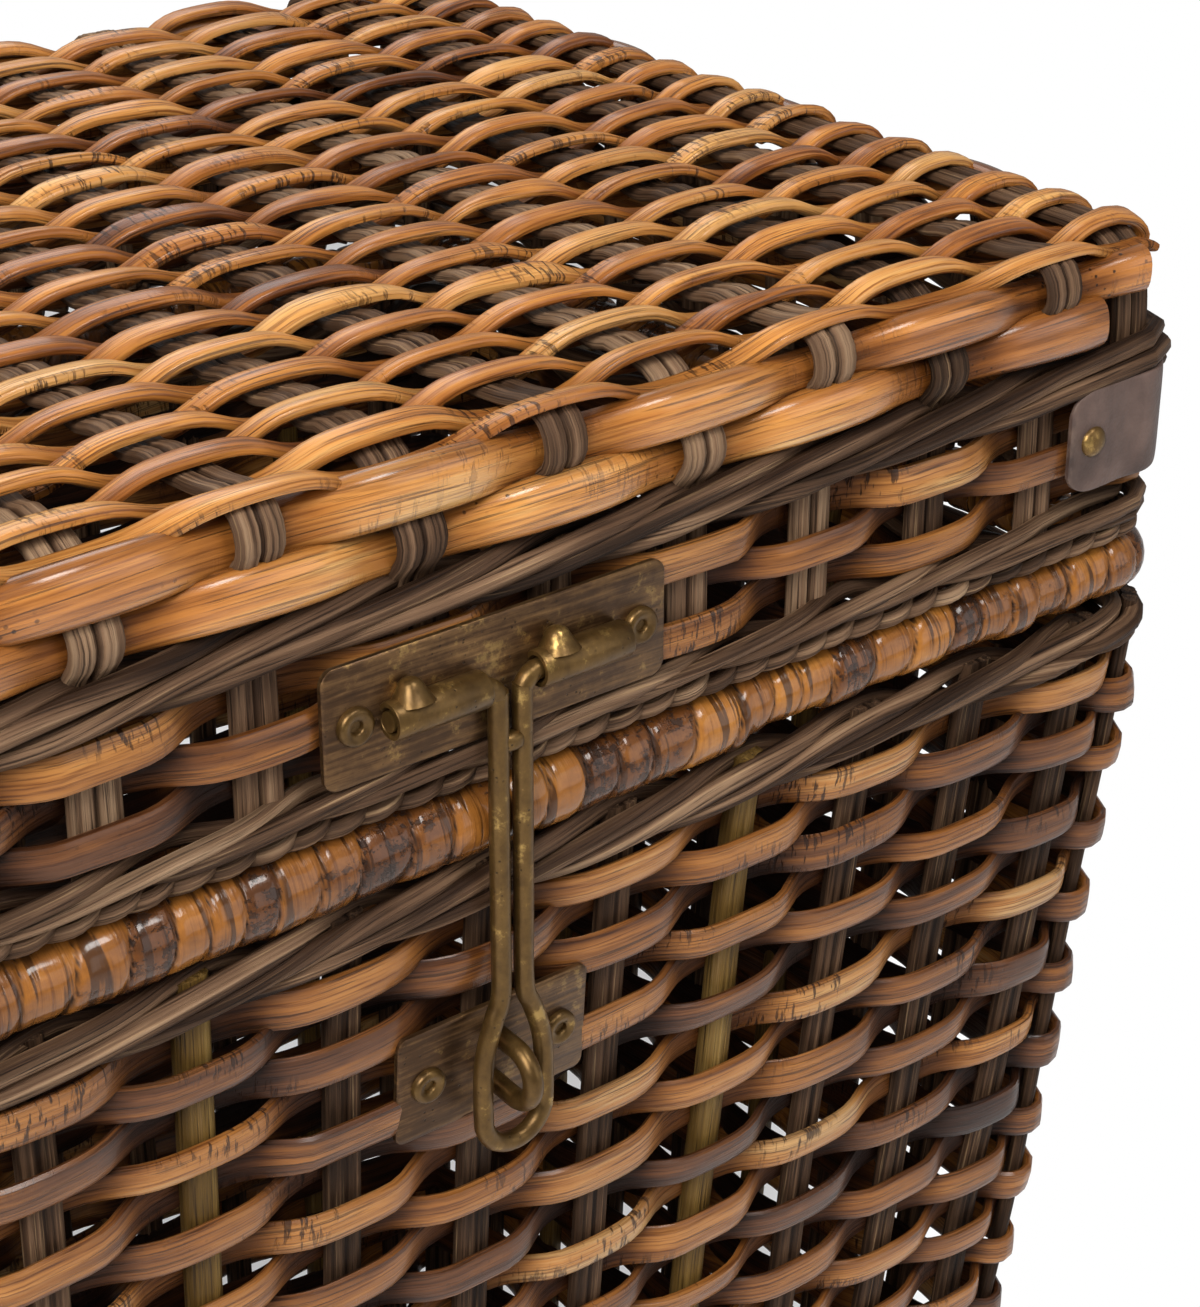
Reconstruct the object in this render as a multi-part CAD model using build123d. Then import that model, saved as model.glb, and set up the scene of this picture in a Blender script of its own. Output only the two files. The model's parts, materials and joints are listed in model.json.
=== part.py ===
from build123d import *
import os
from math import cos, radians, sin, sqrt, tan

# A woven rattan laundry hamper: a tapered basket with a bound rim, a box-shaped lid on two brass
# hinges at the back, and a brass wire hasp at the front that drops over a staple.
# Millimetres. The origin is on the floor under the middle, +Z is up and the front looks along -Y.
# An inset is how far a piece lies inside the widest outline of the plan, at the lid's edge bands.

# Plan
plan_width = 430.0
plan_depth = 320.0
plan_corner_radius = 18.0

# Heights of the basket, from the floor up
foot_height = 18.0
wall_height = 464.0
rim_wale_height = 14.0
roll_radius = 9.0

# Heights of the lid, from the rim up
border_height = 4.5
lower_wale_height = 9.0
side_weave_height = 28.0
upper_wale_height = 14.0
edge_band_height = 11.0
top_weave_lift = 6.0
top_weave_thickness = 12.0

# Woven walls
wall_lean = 4.3
wall_inset = 3.0
wall_thickness = 9.0
wall_row_pitch = 11.5
wall_row_relief = 3.0
wall_corner_flats = 3
rim_wale_inset = 1.5
rim_wale_thickness = 9.0
roll_inset = 0.5
lid_wale_inset = 1.5
side_weave_inset = 3.0
border_inset = 2.0
lid_inner_inset = 10.5
wale_rounding = 3.0
band_rounding = 4.5
top_row_pitch = 9.3
top_row_gap = 5.0
top_row_relief = 4.0

# Foot and base
foot_overhang = 2.0
foot_width = 15.0
foot_rounding = 4.0
base_lift = 6.0
base_thickness = 8.0
base_stick_width = 8.0
base_stick_thickness = 3.5
base_stick_pitch = 32.0

# Stakes
wall_stake_pitch = 38.0
wall_stake_width = 9.0
lid_stake_pitch = 37.4
end_stake_pitch = 36.0
lid_stake_width = 11.5
stake_thickness = 4.0
stake_bend = 7.0
corner_post_radius = 3.0

# Rim binding
core_radius = 6.0
wrap_width = 12.0
wrap_groove_depth = 0.9
wrap_shoulder = 2.5

# Leather corners
leather_thickness = 1.6
leather_height = 26.5
leather_lift = 6.0
leather_reach = 24.3
rivet_edge_distance = 7.3
rivet_head_radius = 3.6
rivet_head_height = 1.6
rivet_shank_radius = 1.2

# Brass plates and their screws
plate_thickness = 1.6
plate_corner_radius = 4.0
screw_head_radius = 4.3
screw_head_height = 1.8
screw_shank_radius = 1.6
screw_bite = 5.0

# Hasp
hasp_plate_width = 90.0
hasp_plate_height = 28.0
hasp_plate_level = 40.0
hasp_screw_spacing = 75.0
wire_radius = 2.3
hasp_knuckle_radius = 4.2
hasp_knuckle_length = 24.0
hasp_knuckle_spacing = 38.0
hasp_knuckle_stand_off = 3.0
nub_radius = 2.8
nub_rise = 8.5
nub_shift = 6.0
leg_spacing = 6.4
shoulder_bend = 3.6
leg_length = 76.0
eye_width = 17.0
eye_length = 41.0
eye_flare = 15.0
eye_bend = 12.0
web_drop = 12.5
web_height = 4.0
web_thickness = 3.4
journal_end_gap = 3.0

# Staple
staple_plate_width = 53.0
staple_plate_height = 29.0
staple_level = 138.0
staple_screw_spacing = 37.0
staple_wire_radius = 2.4
staple_leg_spacing = 13.3
staple_reach = 17.0
staple_bite = 5.0

# Hinges
hinge_spacing = 220.0
hinge_width = 50.0
hinge_knuckle_radius = 3.6
hinge_middle_length = 24.0
hinge_leaf_height = 28.0
hinge_leaf_stand_off = 2.5
hinge_pin_radius = 1.8
hinge_pin_head_radius = 2.7
hinge_pin_head_length = 1.2
hinge_screw_spacing = 30.0

# Clearances
fit_clearance = 0.2
seat_clearance = 0.5
running_clearance = 0.05
knuckle_clearance = 0.4

# Levels worked out from the heights
foot_top = foot_height
wall_top = foot_top + wall_height
rim_wale_top = wall_top + rim_wale_height
roll_level = rim_wale_top + fit_clearance + roll_radius
roll_top = roll_level + roll_radius
lid_bottom = roll_top + seat_clearance
border_top = lid_bottom + border_height
lower_wale_top = border_top + lower_wale_height
side_weave_top = lower_wale_top + side_weave_height
upper_wale_top = side_weave_top + upper_wale_height
band_line = upper_wale_top + edge_band_height
upper_band_top = band_line + edge_band_height
top_weave_bottom = band_line + top_weave_lift

half_width = plan_width / 2
half_depth = plan_depth / 2
front_run = half_width - plan_corner_radius
side_run = half_depth - plan_corner_radius
lean = radians(wall_lean)


# Shared shapes
def plan_outline(inset):
    return RectangleRounded(plan_width - 2 * inset, plan_depth - 2 * inset, plan_corner_radius - inset)


def drawn_in(level):
    return (wall_top - level) * tan(lean)


def corners_at(inset, level):
    x = half_width - inset - drawn_in(level)
    y = half_depth - inset - drawn_in(level)
    return [(-x, -y, level), (x, -y, level), (x, y, level), (-x, y, level)]


def leaning_block(inset):
    low = corners_at(inset, foot_top)
    high = corners_at(inset, wall_top)
    faces = [Face(Wire.make_polygon(low)), Face(Wire.make_polygon(high))]
    for here in range(4):
        after = (here + 1) % 4
        faces.append(Face(Wire.make_polygon([low[here], low[after], high[after], high[here]])))
    solid = Solid(Shell(faces)).fix()
    corner_edges = [edge for edge in solid.edges() if abs(edge.tangent_at(0.5).Z) > 0.5]
    return solid.fillet(plan_corner_radius - inset, corner_edges)


def wall_outline(inset, level):
    radius = plan_corner_radius - inset
    x_run = front_run - drawn_in(level)
    y_run = side_run - drawn_in(level)
    points = []
    for start, x_sign, y_sign in ((180, -1, -1), (270, 1, -1), (0, 1, 1), (90, -1, 1)):
        for step in range(wall_corner_flats + 1):
            angle = radians(start + 90 * step / wall_corner_flats)
            points.append((x_sign * x_run + radius * cos(angle), y_sign * y_run + radius * sin(angle), level))
    return points


def woven_block(inset):
    # One ridge for each row of weavers, with a valley above and below it
    row_count = max(1, round(wall_height / wall_row_pitch))
    row_height = wall_height / row_count
    outlines = [wall_outline(inset + wall_row_relief, foot_top)]
    for row in range(row_count):
        row_bottom = foot_top + row * row_height
        outlines.append(wall_outline(inset, row_bottom + row_height / 2))
        outlines.append(wall_outline(inset + wall_row_relief, row_bottom + row_height))
    faces = [Face(Wire.make_polygon(outlines[0])), Face(Wire.make_polygon(outlines[-1]))]
    for low, high in zip(outlines, outlines[1:]):
        for here in range(len(low)):
            after = (here + 1) % len(low)
            faces.append(Face(Wire.make_polygon([low[here], low[after], high[after], high[here]])))
    return Solid(Shell(faces)).fix()


def rounded_outside(solid, rounding):
    flat_faces = solid.faces().filter_by(Axis.Z)
    outer_edges = [edge for face in flat_faces for edge in face.outer_wire().edges()]
    return fillet(outer_edges, rounding)


def ring(outer_inset, inner_inset, bottom, top, rounding):
    section = plan_outline(outer_inset) - plan_outline(inner_inset)
    solid = Pos(0, 0, bottom) * extrude(section, amount=top - bottom)
    return rounded_outside(solid, min(rounding, 0.45 * (top - bottom)))


def spread(count, pitch):
    return [(index - (count - 1) / 2) * pitch for index in range(count)]


def odd_count(half_run, pitch, width):
    return 2 * int((half_run - width / 2) / pitch) + 1


def even_count(half_run, pitch, width):
    return 2 * int((half_run - width / 2) / pitch + 0.5)


def bar_between(low, high, across, width, thickness):
    path = Vector(*high) - Vector(*low)
    plane = Plane(origin=low, x_dir=across, z_dir=path)
    return plane * extrude(Rectangle(width, thickness), amount=path.length)


def corner_signs():
    return [(x_sign, y_sign) for x_sign in (-1, 1) for y_sign in (-1, 1)]


def dome_headed(head_radius, head_height, shank_radius, shank_length):
    head = extrude(Circle(head_radius), amount=head_height)
    top_edges = head.edges().sort_by(Axis.Z)[-1]
    head = fillet(top_edges, 0.7 * head_height)
    return head + extrude(Circle(shank_radius), amount=-shank_length)


def drilled_plate(width, height, hole_spots, hole_radius):
    outline = RectangleRounded(width, height, plate_corner_radius)
    for spot in hole_spots:
        outline -= Pos(spot[0], spot[1]) * Circle(hole_radius)
    return extrude(outline, amount=plate_thickness)


def holes_behind(spots, radius, depth):
    drill = Pos(0, 0, plate_thickness) * extrude(Circle(radius), amount=-depth - plate_thickness)
    return [Pos(spot[0], spot[1]) * drill for spot in spots]


# Places of the brass plates: x runs along the basket, y up the wall and z out of it.
# A plate's back lies on the local z = 0 plane.
lid_face_inset = lid_wale_inset - fit_clearance
hasp_level = band_line - hasp_plate_level
hasp_plate_place = Plane(
    origin=(0, lid_face_inset - half_depth, hasp_level), x_dir=(1, 0, 0), z_dir=(0, -1, 0)
)
hasp_axis_out = plate_thickness + hasp_knuckle_stand_off

staple_centre_level = band_line - staple_level
staple_wall_inset = wall_inset + drawn_in(staple_centre_level) - fit_clearance
staple_place = Plane(
    origin=(0, staple_wall_inset - half_depth, staple_centre_level),
    x_dir=(1, 0, 0),
    z_dir=(0, -cos(lean), -sin(lean)),
)

hinge_leaf_inset = roll_inset - fit_clearance
hinge_axis_inset = hinge_leaf_inset - plate_thickness - hinge_leaf_stand_off
hinge_level = (roll_top + lid_bottom) / 2
hinge_xs = spread(2, hinge_spacing)


def hinge_place(x):
    return Plane(origin=(x, half_depth - hinge_axis_inset, hinge_level), x_dir=(-1, 0, 0), z_dir=(0, 1, 0))


hasp_screw_spots = [(x, 0) for x in spread(2, hasp_screw_spacing)]
staple_screw_spots = [(x, 0) for x in spread(2, staple_screw_spacing)]
staple_leg_spots = [(0, y) for y in spread(2, staple_leg_spacing)]
body_leaf_screw_rise = (wall_top + rim_wale_top) / 2 - hinge_level
lid_leaf_screw_rise = lower_wale_top + side_weave_height / 2 - hinge_level
leaf_back = -(hinge_leaf_stand_off + plate_thickness)
screw_hole_radius = screw_shank_radius + fit_clearance


def leaf_screw_spots(rise):
    return [(x, rise) for x in spread(2, hinge_screw_spacing)]


# How deep the screws reach behind the back of each plate
hasp_screw_depth = side_weave_inset - lid_face_inset + screw_bite
staple_screw_depth = screw_bite
body_leaf_screw_depth = rim_wale_inset - hinge_leaf_inset + screw_bite
lid_leaf_screw_depth = side_weave_inset - hinge_leaf_inset + screw_bite


# Basket: foot, base and walls
foot_inset = wall_inset + drawn_in(foot_top) - foot_overhang
foot_corner_radius = plan_corner_radius - wall_inset + foot_overhang


def foot_outline(further_in):
    width = plan_width - 2 * (foot_inset + further_in)
    depth = plan_depth - 2 * (foot_inset + further_in)
    return RectangleRounded(width, depth, foot_corner_radius - further_in)


def foot_border():
    section = foot_outline(0) - foot_outline(foot_width)
    solid = extrude(section, amount=foot_height)
    return rounded_outside(solid, min(foot_rounding, 0.45 * foot_height))


def base_weave():
    outline = foot_outline(foot_width + fit_clearance)
    return Pos(0, 0, base_lift) * extrude(outline, amount=base_thickness)


def base_sticks():
    half_run = half_width - foot_inset - foot_corner_radius
    count = odd_count(half_run, base_stick_pitch, base_stick_width)
    level = base_lift + base_thickness + fit_clearance + base_stick_thickness / 2
    length = plan_depth - 2 * (foot_inset + foot_width + fit_clearance)
    stick = Box(base_stick_width, length, base_stick_thickness)
    return Compound(children=[Pos(x, 0, level) * stick for x in spread(count, base_stick_pitch)])


def wall_weave():
    outside = woven_block(wall_inset)
    inside = leaning_block(wall_inset + wall_thickness)
    screw_holes = holes_behind(staple_screw_spots, screw_hole_radius, staple_screw_depth + fit_clearance)
    leg_hole_radius = staple_wire_radius + fit_clearance
    leg_holes = holes_behind(staple_leg_spots, leg_hole_radius, staple_bite + fit_clearance)
    solid = Part() + outside - inside
    for hole in screw_holes + leg_holes:
        solid -= staple_place * hole
    return solid


stake_low = foot_top + fit_clearance + stake_thickness * sin(lean)
stake_high = rim_wale_top - fit_clearance
stake_inset = wall_inset + wall_thickness + (fit_clearance + stake_thickness / 2) / cos(lean)


def wall_stakes():
    stakes = []
    reach_low = stake_inset + drawn_in(stake_low)
    reach_high = stake_inset + drawn_in(stake_high)
    front_fan = (front_run - drawn_in(stake_low)) / front_run
    side_fan = (side_run - drawn_in(stake_low)) / side_run
    front_count = odd_count(front_run, wall_stake_pitch, wall_stake_width)
    side_count = odd_count(side_run, wall_stake_pitch, wall_stake_width)
    for side in (-1, 1):
        for x in spread(front_count, wall_stake_pitch):
            low = (x * front_fan, side * (half_depth - reach_low), stake_low)
            high = (x, side * (half_depth - reach_high), stake_high)
            stakes.append(bar_between(low, high, (1, 0, 0), wall_stake_width, stake_thickness))
        for y in spread(side_count, wall_stake_pitch):
            low = (side * (half_width - reach_low), y * side_fan, stake_low)
            high = (side * (half_width - reach_high), y, stake_high)
            stakes.append(bar_between(low, high, (0, 1, 0), wall_stake_width, stake_thickness))
    return Compound(children=stakes)


def corner_posts():
    posts = []
    inner_radius = plan_corner_radius - wall_inset - wall_thickness
    along_diagonal = (inner_radius - corner_post_radius - 2 * fit_clearance) / sqrt(2)
    for x_sign, y_sign in corner_signs():
        ends = []
        for level in (stake_low, wall_top):
            x = front_run - drawn_in(level) + along_diagonal
            y = side_run - drawn_in(level) + along_diagonal
            ends.append(Vector(x_sign * x, y_sign * y, level))
        path = ends[1] - ends[0]
        post = extrude(Circle(corner_post_radius), amount=path.length)
        posts.append(Plane(origin=ends[0], z_dir=path) * post)
    return Compound(children=posts)


# Basket: rim
def rim_wale():
    inner_inset = rim_wale_inset + rim_wale_thickness
    solid = ring(rim_wale_inset, inner_inset, wall_top, rim_wale_top, wale_rounding)
    for x in hinge_xs:
        depth = -leaf_back + body_leaf_screw_depth + fit_clearance
        for hole in holes_behind(leaf_screw_spots(body_leaf_screw_rise), screw_hole_radius, depth):
            solid -= hinge_place(x) * hole
    return solid


roll_centre_inset = roll_inset + roll_radius
roll_bend = plan_corner_radius - roll_centre_inset


def around_rim(front_piece, side_piece, corner_piece):
    pieces = []
    for turn in (0, 180):
        pieces.append(Rot(0, 0, turn) * Pos(0, roll_centre_inset - half_depth, roll_level) * front_piece)
        pieces.append(Rot(0, 0, turn) * Pos(half_width - roll_centre_inset, 0, roll_level) * side_piece)
    for x_sign, y_sign in corner_signs():
        start = {(1, 1): 0, (-1, 1): 90, (-1, -1): 180, (1, -1): 270}[(x_sign, y_sign)]
        place = Pos(x_sign * front_run, y_sign * side_run, roll_level) * Rot(0, 0, start)
        pieces.append(place * corner_piece)
    return pieces


def bend_of(section):
    standing = Plane.XZ * Pos(roll_bend, 0) * section
    return revolve(standing, axis=Axis.Z, revolution_arc=90)


def straight_of(section, half_run):
    return extrude(Plane.YZ * section, amount=half_run, both=True)


def fused(pieces):
    whole = pieces[0]
    for piece in pieces[1:]:
        whole = whole + piece
    return whole


def rim_core():
    section = Circle(core_radius)
    pieces = around_rim(
        straight_of(section, front_run),
        Rot(0, 0, 90) * straight_of(section, side_run),
        bend_of(section),
    )
    return fused(pieces)


def bound_run(half_run):
    count = max(1, round(2 * half_run / wrap_width))
    width = 2 * half_run / count
    groove = roll_radius - wrap_groove_depth
    bore = core_radius + fit_clearance
    points = [(-half_run, bore)]
    for index in range(count):
        start = -half_run + index * width
        points.append((start, groove))
        points.append((start + wrap_shoulder, roll_radius))
        points.append((start + width - wrap_shoulder, roll_radius))
    points.append((half_run, groove))
    points.append((half_run, bore))
    profile = make_face(Polyline(*points, close=True))
    return revolve(profile, axis=Axis.X, revolution_arc=360)


def rim_binding():
    bend = bend_of(Circle(roll_radius - wrap_groove_depth) - Circle(core_radius + fit_clearance))
    pieces = around_rim(bound_run(front_run), Rot(0, 0, 90) * bound_run(side_run), bend)
    return fused(pieces)


# Basket: staple at the front and the fixed half of the hinges
def staple_plate():
    plate = drilled_plate(staple_plate_width, staple_plate_height, staple_screw_spots, screw_hole_radius)
    for spot in staple_leg_spots:
        plate -= Pos(spot[0], spot[1]) * Cylinder(staple_wire_radius + fit_clearance, 4 * plate_thickness)
    return staple_place * plate


def staple():
    bend = staple_leg_spacing / 2
    straight_end = plate_thickness + staple_reach - staple_wire_radius - bend
    top_leg = Line((0, bend, -staple_bite), (0, bend, straight_end))
    arc = ThreePointArc((0, bend, straight_end), (0, 0, straight_end + bend), (0, -bend, straight_end))
    low_leg = Line((0, -bend, straight_end), (0, -bend, -staple_bite))
    path = Wire([top_leg, arc, low_leg])
    section = Pos(0, bend, -staple_bite) * Circle(staple_wire_radius)
    return staple_place * sweep(section, path=path)


def plate_screws(place, spots, depth):
    shank = plate_thickness + depth
    screw = dome_headed(screw_head_radius, screw_head_height, screw_shank_radius, shank)
    return [place * Pos(spot[0], spot[1], plate_thickness) * screw for spot in spots]


def staple_screws():
    return Compound(children=plate_screws(staple_place, staple_screw_spots, staple_screw_depth))


def hinge_leaf(up, knuckle_spans, screw_rise):
    near = hinge_knuckle_radius + knuckle_clearance
    middle_rise = up * (near + hinge_leaf_height / 2)
    screw_spots = [(x, screw_rise - middle_rise) for x in spread(2, hinge_screw_spacing)]
    plate = drilled_plate(hinge_width, hinge_leaf_height, screw_spots, screw_hole_radius)
    leaf = Pos(0, middle_rise, leaf_back) * plate
    for low, high in knuckle_spans:
        centre = (low + high) / 2
        arm_height = near + plate_corner_radius
        arm = Box(high - low, arm_height, plate_thickness)
        arm_level = leaf_back + plate_thickness / 2
        knuckle = Rot(0, 90, 0) * Cylinder(hinge_knuckle_radius, high - low)
        leaf += Pos(centre, up * arm_height / 2, arm_level) * arm
        leaf += Pos(centre, 0, 0) * knuckle
    bore = Rot(0, 90, 0) * Cylinder(hinge_pin_radius + running_clearance, 2 * hinge_width)
    return leaf - bore


inner_end = hinge_middle_length / 2 + knuckle_clearance
outer_spans = [(-hinge_width / 2, -inner_end), (inner_end, hinge_width / 2)]
middle_spans = [(-hinge_middle_length / 2, hinge_middle_length / 2)]


def hinge_body_leaf(x):
    return hinge_place(x) * hinge_leaf(-1, outer_spans, body_leaf_screw_rise)


def hinge_lid_leaf(x):
    return hinge_place(x) * hinge_leaf(1, middle_spans, lid_leaf_screw_rise)


def hinge_pin(x):
    reach = hinge_width / 2 + fit_clearance
    pin = Cylinder(hinge_pin_radius, 2 * reach)
    for side in (-1, 1):
        head = Cylinder(hinge_pin_head_radius, hinge_pin_head_length)
        pin += Pos(0, 0, side * (reach + hinge_pin_head_length / 2)) * head
    return hinge_place(x) * Rot(0, 90, 0) * pin


def hinge_screws(rise, depth):
    screws = []
    for x in hinge_xs:
        place = hinge_place(x) * Pos(0, 0, leaf_back)
        screws.extend(plate_screws(place, leaf_screw_spots(rise), depth))
    return Compound(children=screws)


# Lid: rings of the woven sides, the top and its stakes
def lid_side_weave():
    solid = ring(side_weave_inset, lid_inner_inset, lower_wale_top, side_weave_top, wale_rounding)
    for hole in holes_behind(hasp_screw_spots, screw_hole_radius, hasp_screw_depth + fit_clearance):
        solid -= hasp_plate_place * hole
    for x in hinge_xs:
        depth = -leaf_back + lid_leaf_screw_depth + fit_clearance
        for hole in holes_behind(leaf_screw_spots(lid_leaf_screw_rise), screw_hole_radius, depth):
            solid -= hinge_place(x) * hole
    return solid


def lid_top_weave():
    outline = plan_outline(lid_inner_inset + fit_clearance)
    solid = Pos(0, 0, top_weave_bottom) * extrude(outline, amount=top_weave_thickness)
    upper_edges = solid.faces().sort_by(Axis.Z)[-1].outer_wire().edges()
    solid = fillet(upper_edges, min(wale_rounding, 0.45 * top_weave_thickness))
    depth = plan_depth - 2 * (lid_inner_inset + fit_clearance)
    row_count = max(1, round(depth / top_row_pitch))
    valley = Polyline((-top_row_gap / 2, 0), (top_row_gap / 2, 0), (0, -top_row_relief), close=True)
    groove = extrude(Plane.YZ * make_face(valley), amount=half_width, both=True)
    top = top_weave_bottom + top_weave_thickness
    return solid - [Pos(0, y, top) * groove for y in spread(row_count - 1, depth / row_count)]


lid_stake_low = lid_bottom
lid_stake_high = top_weave_bottom - fit_clearance
lid_stake_inset = lid_inner_inset + fit_clearance


def lid_stakes():
    outer = half_depth - lid_stake_inset
    inner = outer - stake_thickness
    ceiling = lid_stake_high - stake_thickness
    front_leg = [(-inner, lid_stake_low), (-outer, lid_stake_low), (-outer, lid_stake_high)]
    back_leg = [(outer, lid_stake_high), (outer, lid_stake_low), (inner, lid_stake_low)]
    underside = [(inner, ceiling), (-inner, ceiling)]
    outline = make_face(Polyline(*front_leg, *back_leg, *underside, close=True))
    inner_bends = outline.vertices().group_by(Axis.Y)[1]
    outline = fillet(inner_bends, stake_bend - stake_thickness)
    outer_bends = outline.vertices().group_by(Axis.Y)[-1]
    outline = fillet(outer_bends, stake_bend)
    stake = extrude(Plane.YZ * outline, amount=lid_stake_width / 2, both=True)
    count = even_count(front_run, lid_stake_pitch, lid_stake_width)
    return Compound(children=[Pos(x, 0, 0) * stake for x in spread(count, lid_stake_pitch)])


def lid_end_stakes():
    stakes = []
    x = half_width - lid_stake_inset - stake_thickness / 2
    height = lid_stake_high - lid_stake_low
    stake = Box(stake_thickness, lid_stake_width, height)
    count = even_count(side_run, end_stake_pitch, lid_stake_width)
    for side in (-1, 1):
        for y in spread(count, end_stake_pitch):
            stakes.append(Pos(side * x, y, lid_stake_low + height / 2) * stake)
    return Compound(children=stakes)


# Lid: leather corners and their rivets
leather_back_inset = lid_wale_inset - fit_clearance
leather_front_inset = leather_back_inset - leather_thickness
leather_low = lower_wale_top + leather_lift
rivet_level = leather_low + leather_height / 2


def rivet_places(x_sign, y_sign):
    along_front = x_sign * (front_run - leather_reach + rivet_edge_distance)
    along_side = y_sign * (side_run - leather_reach + rivet_edge_distance)
    front_y = y_sign * (half_depth - leather_front_inset)
    side_x = x_sign * (half_width - leather_front_inset)
    front = Plane(origin=(along_front, front_y, rivet_level), x_dir=(0, 0, 1), z_dir=(0, y_sign, 0))
    side = Plane(origin=(side_x, along_side, rivet_level), x_dir=(0, 0, 1), z_dir=(x_sign, 0, 0))
    return [front, side]


def leather_corner(x_sign, y_sign):
    section = plan_outline(leather_front_inset) - plan_outline(leather_back_inset)
    reach_x = plan_corner_radius + leather_reach
    corner = Rectangle(2 * reach_x, 2 * reach_x)
    section = section & Pos(x_sign * half_width, y_sign * half_depth) * corner
    solid = Pos(0, 0, leather_low) * extrude(section, amount=leather_height)
    hole = Cylinder(rivet_shank_radius + fit_clearance, 4 * leather_thickness)
    for place in rivet_places(x_sign, y_sign):
        solid -= place * hole
    return solid


def leather_rivets():
    rivet = dome_headed(rivet_head_radius, rivet_head_height, rivet_shank_radius, leather_thickness)
    rivets = []
    for x_sign, y_sign in corner_signs():
        rivets.extend(place * rivet for place in rivet_places(x_sign, y_sign))
    return Compound(children=rivets)


# Lid: hasp plate with its rolled knuckles, and the wire loop that swings in them
def hasp_plate():
    plate = drilled_plate(hasp_plate_width, hasp_plate_height, hasp_screw_spots, screw_hole_radius)
    for x in spread(2, hasp_knuckle_spacing):
        knuckle = Rot(0, 90, 0) * Cylinder(hasp_knuckle_radius, hasp_knuckle_length)
        nub = Sphere(nub_radius)
        plate += Pos(x, 0, hasp_axis_out) * knuckle
        plate += Pos(x - nub_shift, nub_rise, plate_thickness) * nub
    behind = Box(2 * hasp_plate_width, 2 * hasp_plate_height, 2 * hasp_knuckle_radius)
    plate -= Pos(0, 0, -hasp_knuckle_radius) * behind
    bore = Rot(0, 90, 0) * Cylinder(wire_radius + running_clearance, 2 * hasp_plate_width)
    plate -= Pos(0, 0, hasp_axis_out) * bore
    return hasp_plate_place * plate


def hasp_loop():
    journal_end = hasp_knuckle_spacing / 2 + hasp_knuckle_length / 2 - journal_end_gap
    leg = leg_spacing / 2
    eye = eye_width / 2
    neck = -leg_length
    flare_end = neck - eye_flare
    bottom = neck - eye_length
    left_half = [(-journal_end, 0), (-leg, 0), (-leg, neck), (-eye, flare_end), (-eye, bottom)]
    right_half = [(-x, y) for x, y in reversed(left_half)]
    bends = [shoulder_bend, eye_bend, eye_bend, 0.99 * eye]
    path = FilletPolyline(*left_half, *right_half, radius=bends + bends[::-1])
    start = Plane(origin=(-journal_end, 0, 0), z_dir=(1, 0, 0))
    loop = sweep(start * Circle(wire_radius), path=path)
    web = Box(leg_spacing, web_height, web_thickness)
    loop += Pos(0, -web_drop - web_height / 2, 0) * web
    return hasp_plate_place * Pos(0, 0, hasp_axis_out) * loop


def hasp_plate_screws():
    return Compound(children=plate_screws(hasp_plate_place, hasp_screw_spots, hasp_screw_depth))


nodes = {
    "foot_border": foot_border(),
    "base_weave": base_weave(),
    "base_sticks": base_sticks(),
    "wall_weave": wall_weave(),
    "wall_stakes": wall_stakes(),
    "corner_posts": corner_posts(),
    "rim_wale": rim_wale(),
    "rim_core": rim_core(),
    "rim_binding": rim_binding(),
    "staple_plate": staple_plate(),
    "staple": staple(),
    "staple_screws": staple_screws(),
    "hinge_body_screws": hinge_screws(body_leaf_screw_rise, body_leaf_screw_depth),
    "hinge_lid_screws": hinge_screws(lid_leaf_screw_rise, lid_leaf_screw_depth),
    "lid_border": ring(border_inset, lid_inner_inset, lid_bottom, border_top, wale_rounding),
    "lid_lower_wale": ring(lid_wale_inset, lid_inner_inset, border_top, lower_wale_top, wale_rounding),
    "lid_side_weave": lid_side_weave(),
    "lid_upper_wale": ring(lid_wale_inset, lid_inner_inset, side_weave_top, upper_wale_top, wale_rounding),
    "edge_band_lower": ring(0, lid_inner_inset, upper_wale_top, band_line, band_rounding),
    "edge_band_upper": ring(0, lid_inner_inset, band_line, upper_band_top, band_rounding),
    "lid_top_weave": lid_top_weave(),
    "lid_stakes": lid_stakes(),
    "lid_end_stakes": lid_end_stakes(),
    "leather_rivets": leather_rivets(),
    "hasp_plate": hasp_plate(),
    "hasp_plate_screws": hasp_plate_screws(),
    "hasp_loop": hasp_loop(),
}
for side_name, hinge_x in zip(("left", "right"), hinge_xs):
    nodes["hinge_body_leaf_" + side_name] = hinge_body_leaf(hinge_x)
    nodes["hinge_lid_leaf_" + side_name] = hinge_lid_leaf(hinge_x)
    nodes["hinge_pin_" + side_name] = hinge_pin(hinge_x)
for y_name, y_side in (("front", -1), ("back", 1)):
    for x_name, x_side in (("left", -1), ("right", 1)):
        nodes["leather_corner_" + y_name + "_" + x_name] = leather_corner(x_side, y_side)

os.makedirs("parts", exist_ok=True)
for node_name, shape in nodes.items():
    export_step(shape, "parts/" + node_name + ".step")
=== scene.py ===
import json
import math
import bpy
import numpy as np
from mathutils import Matrix, Vector


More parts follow.
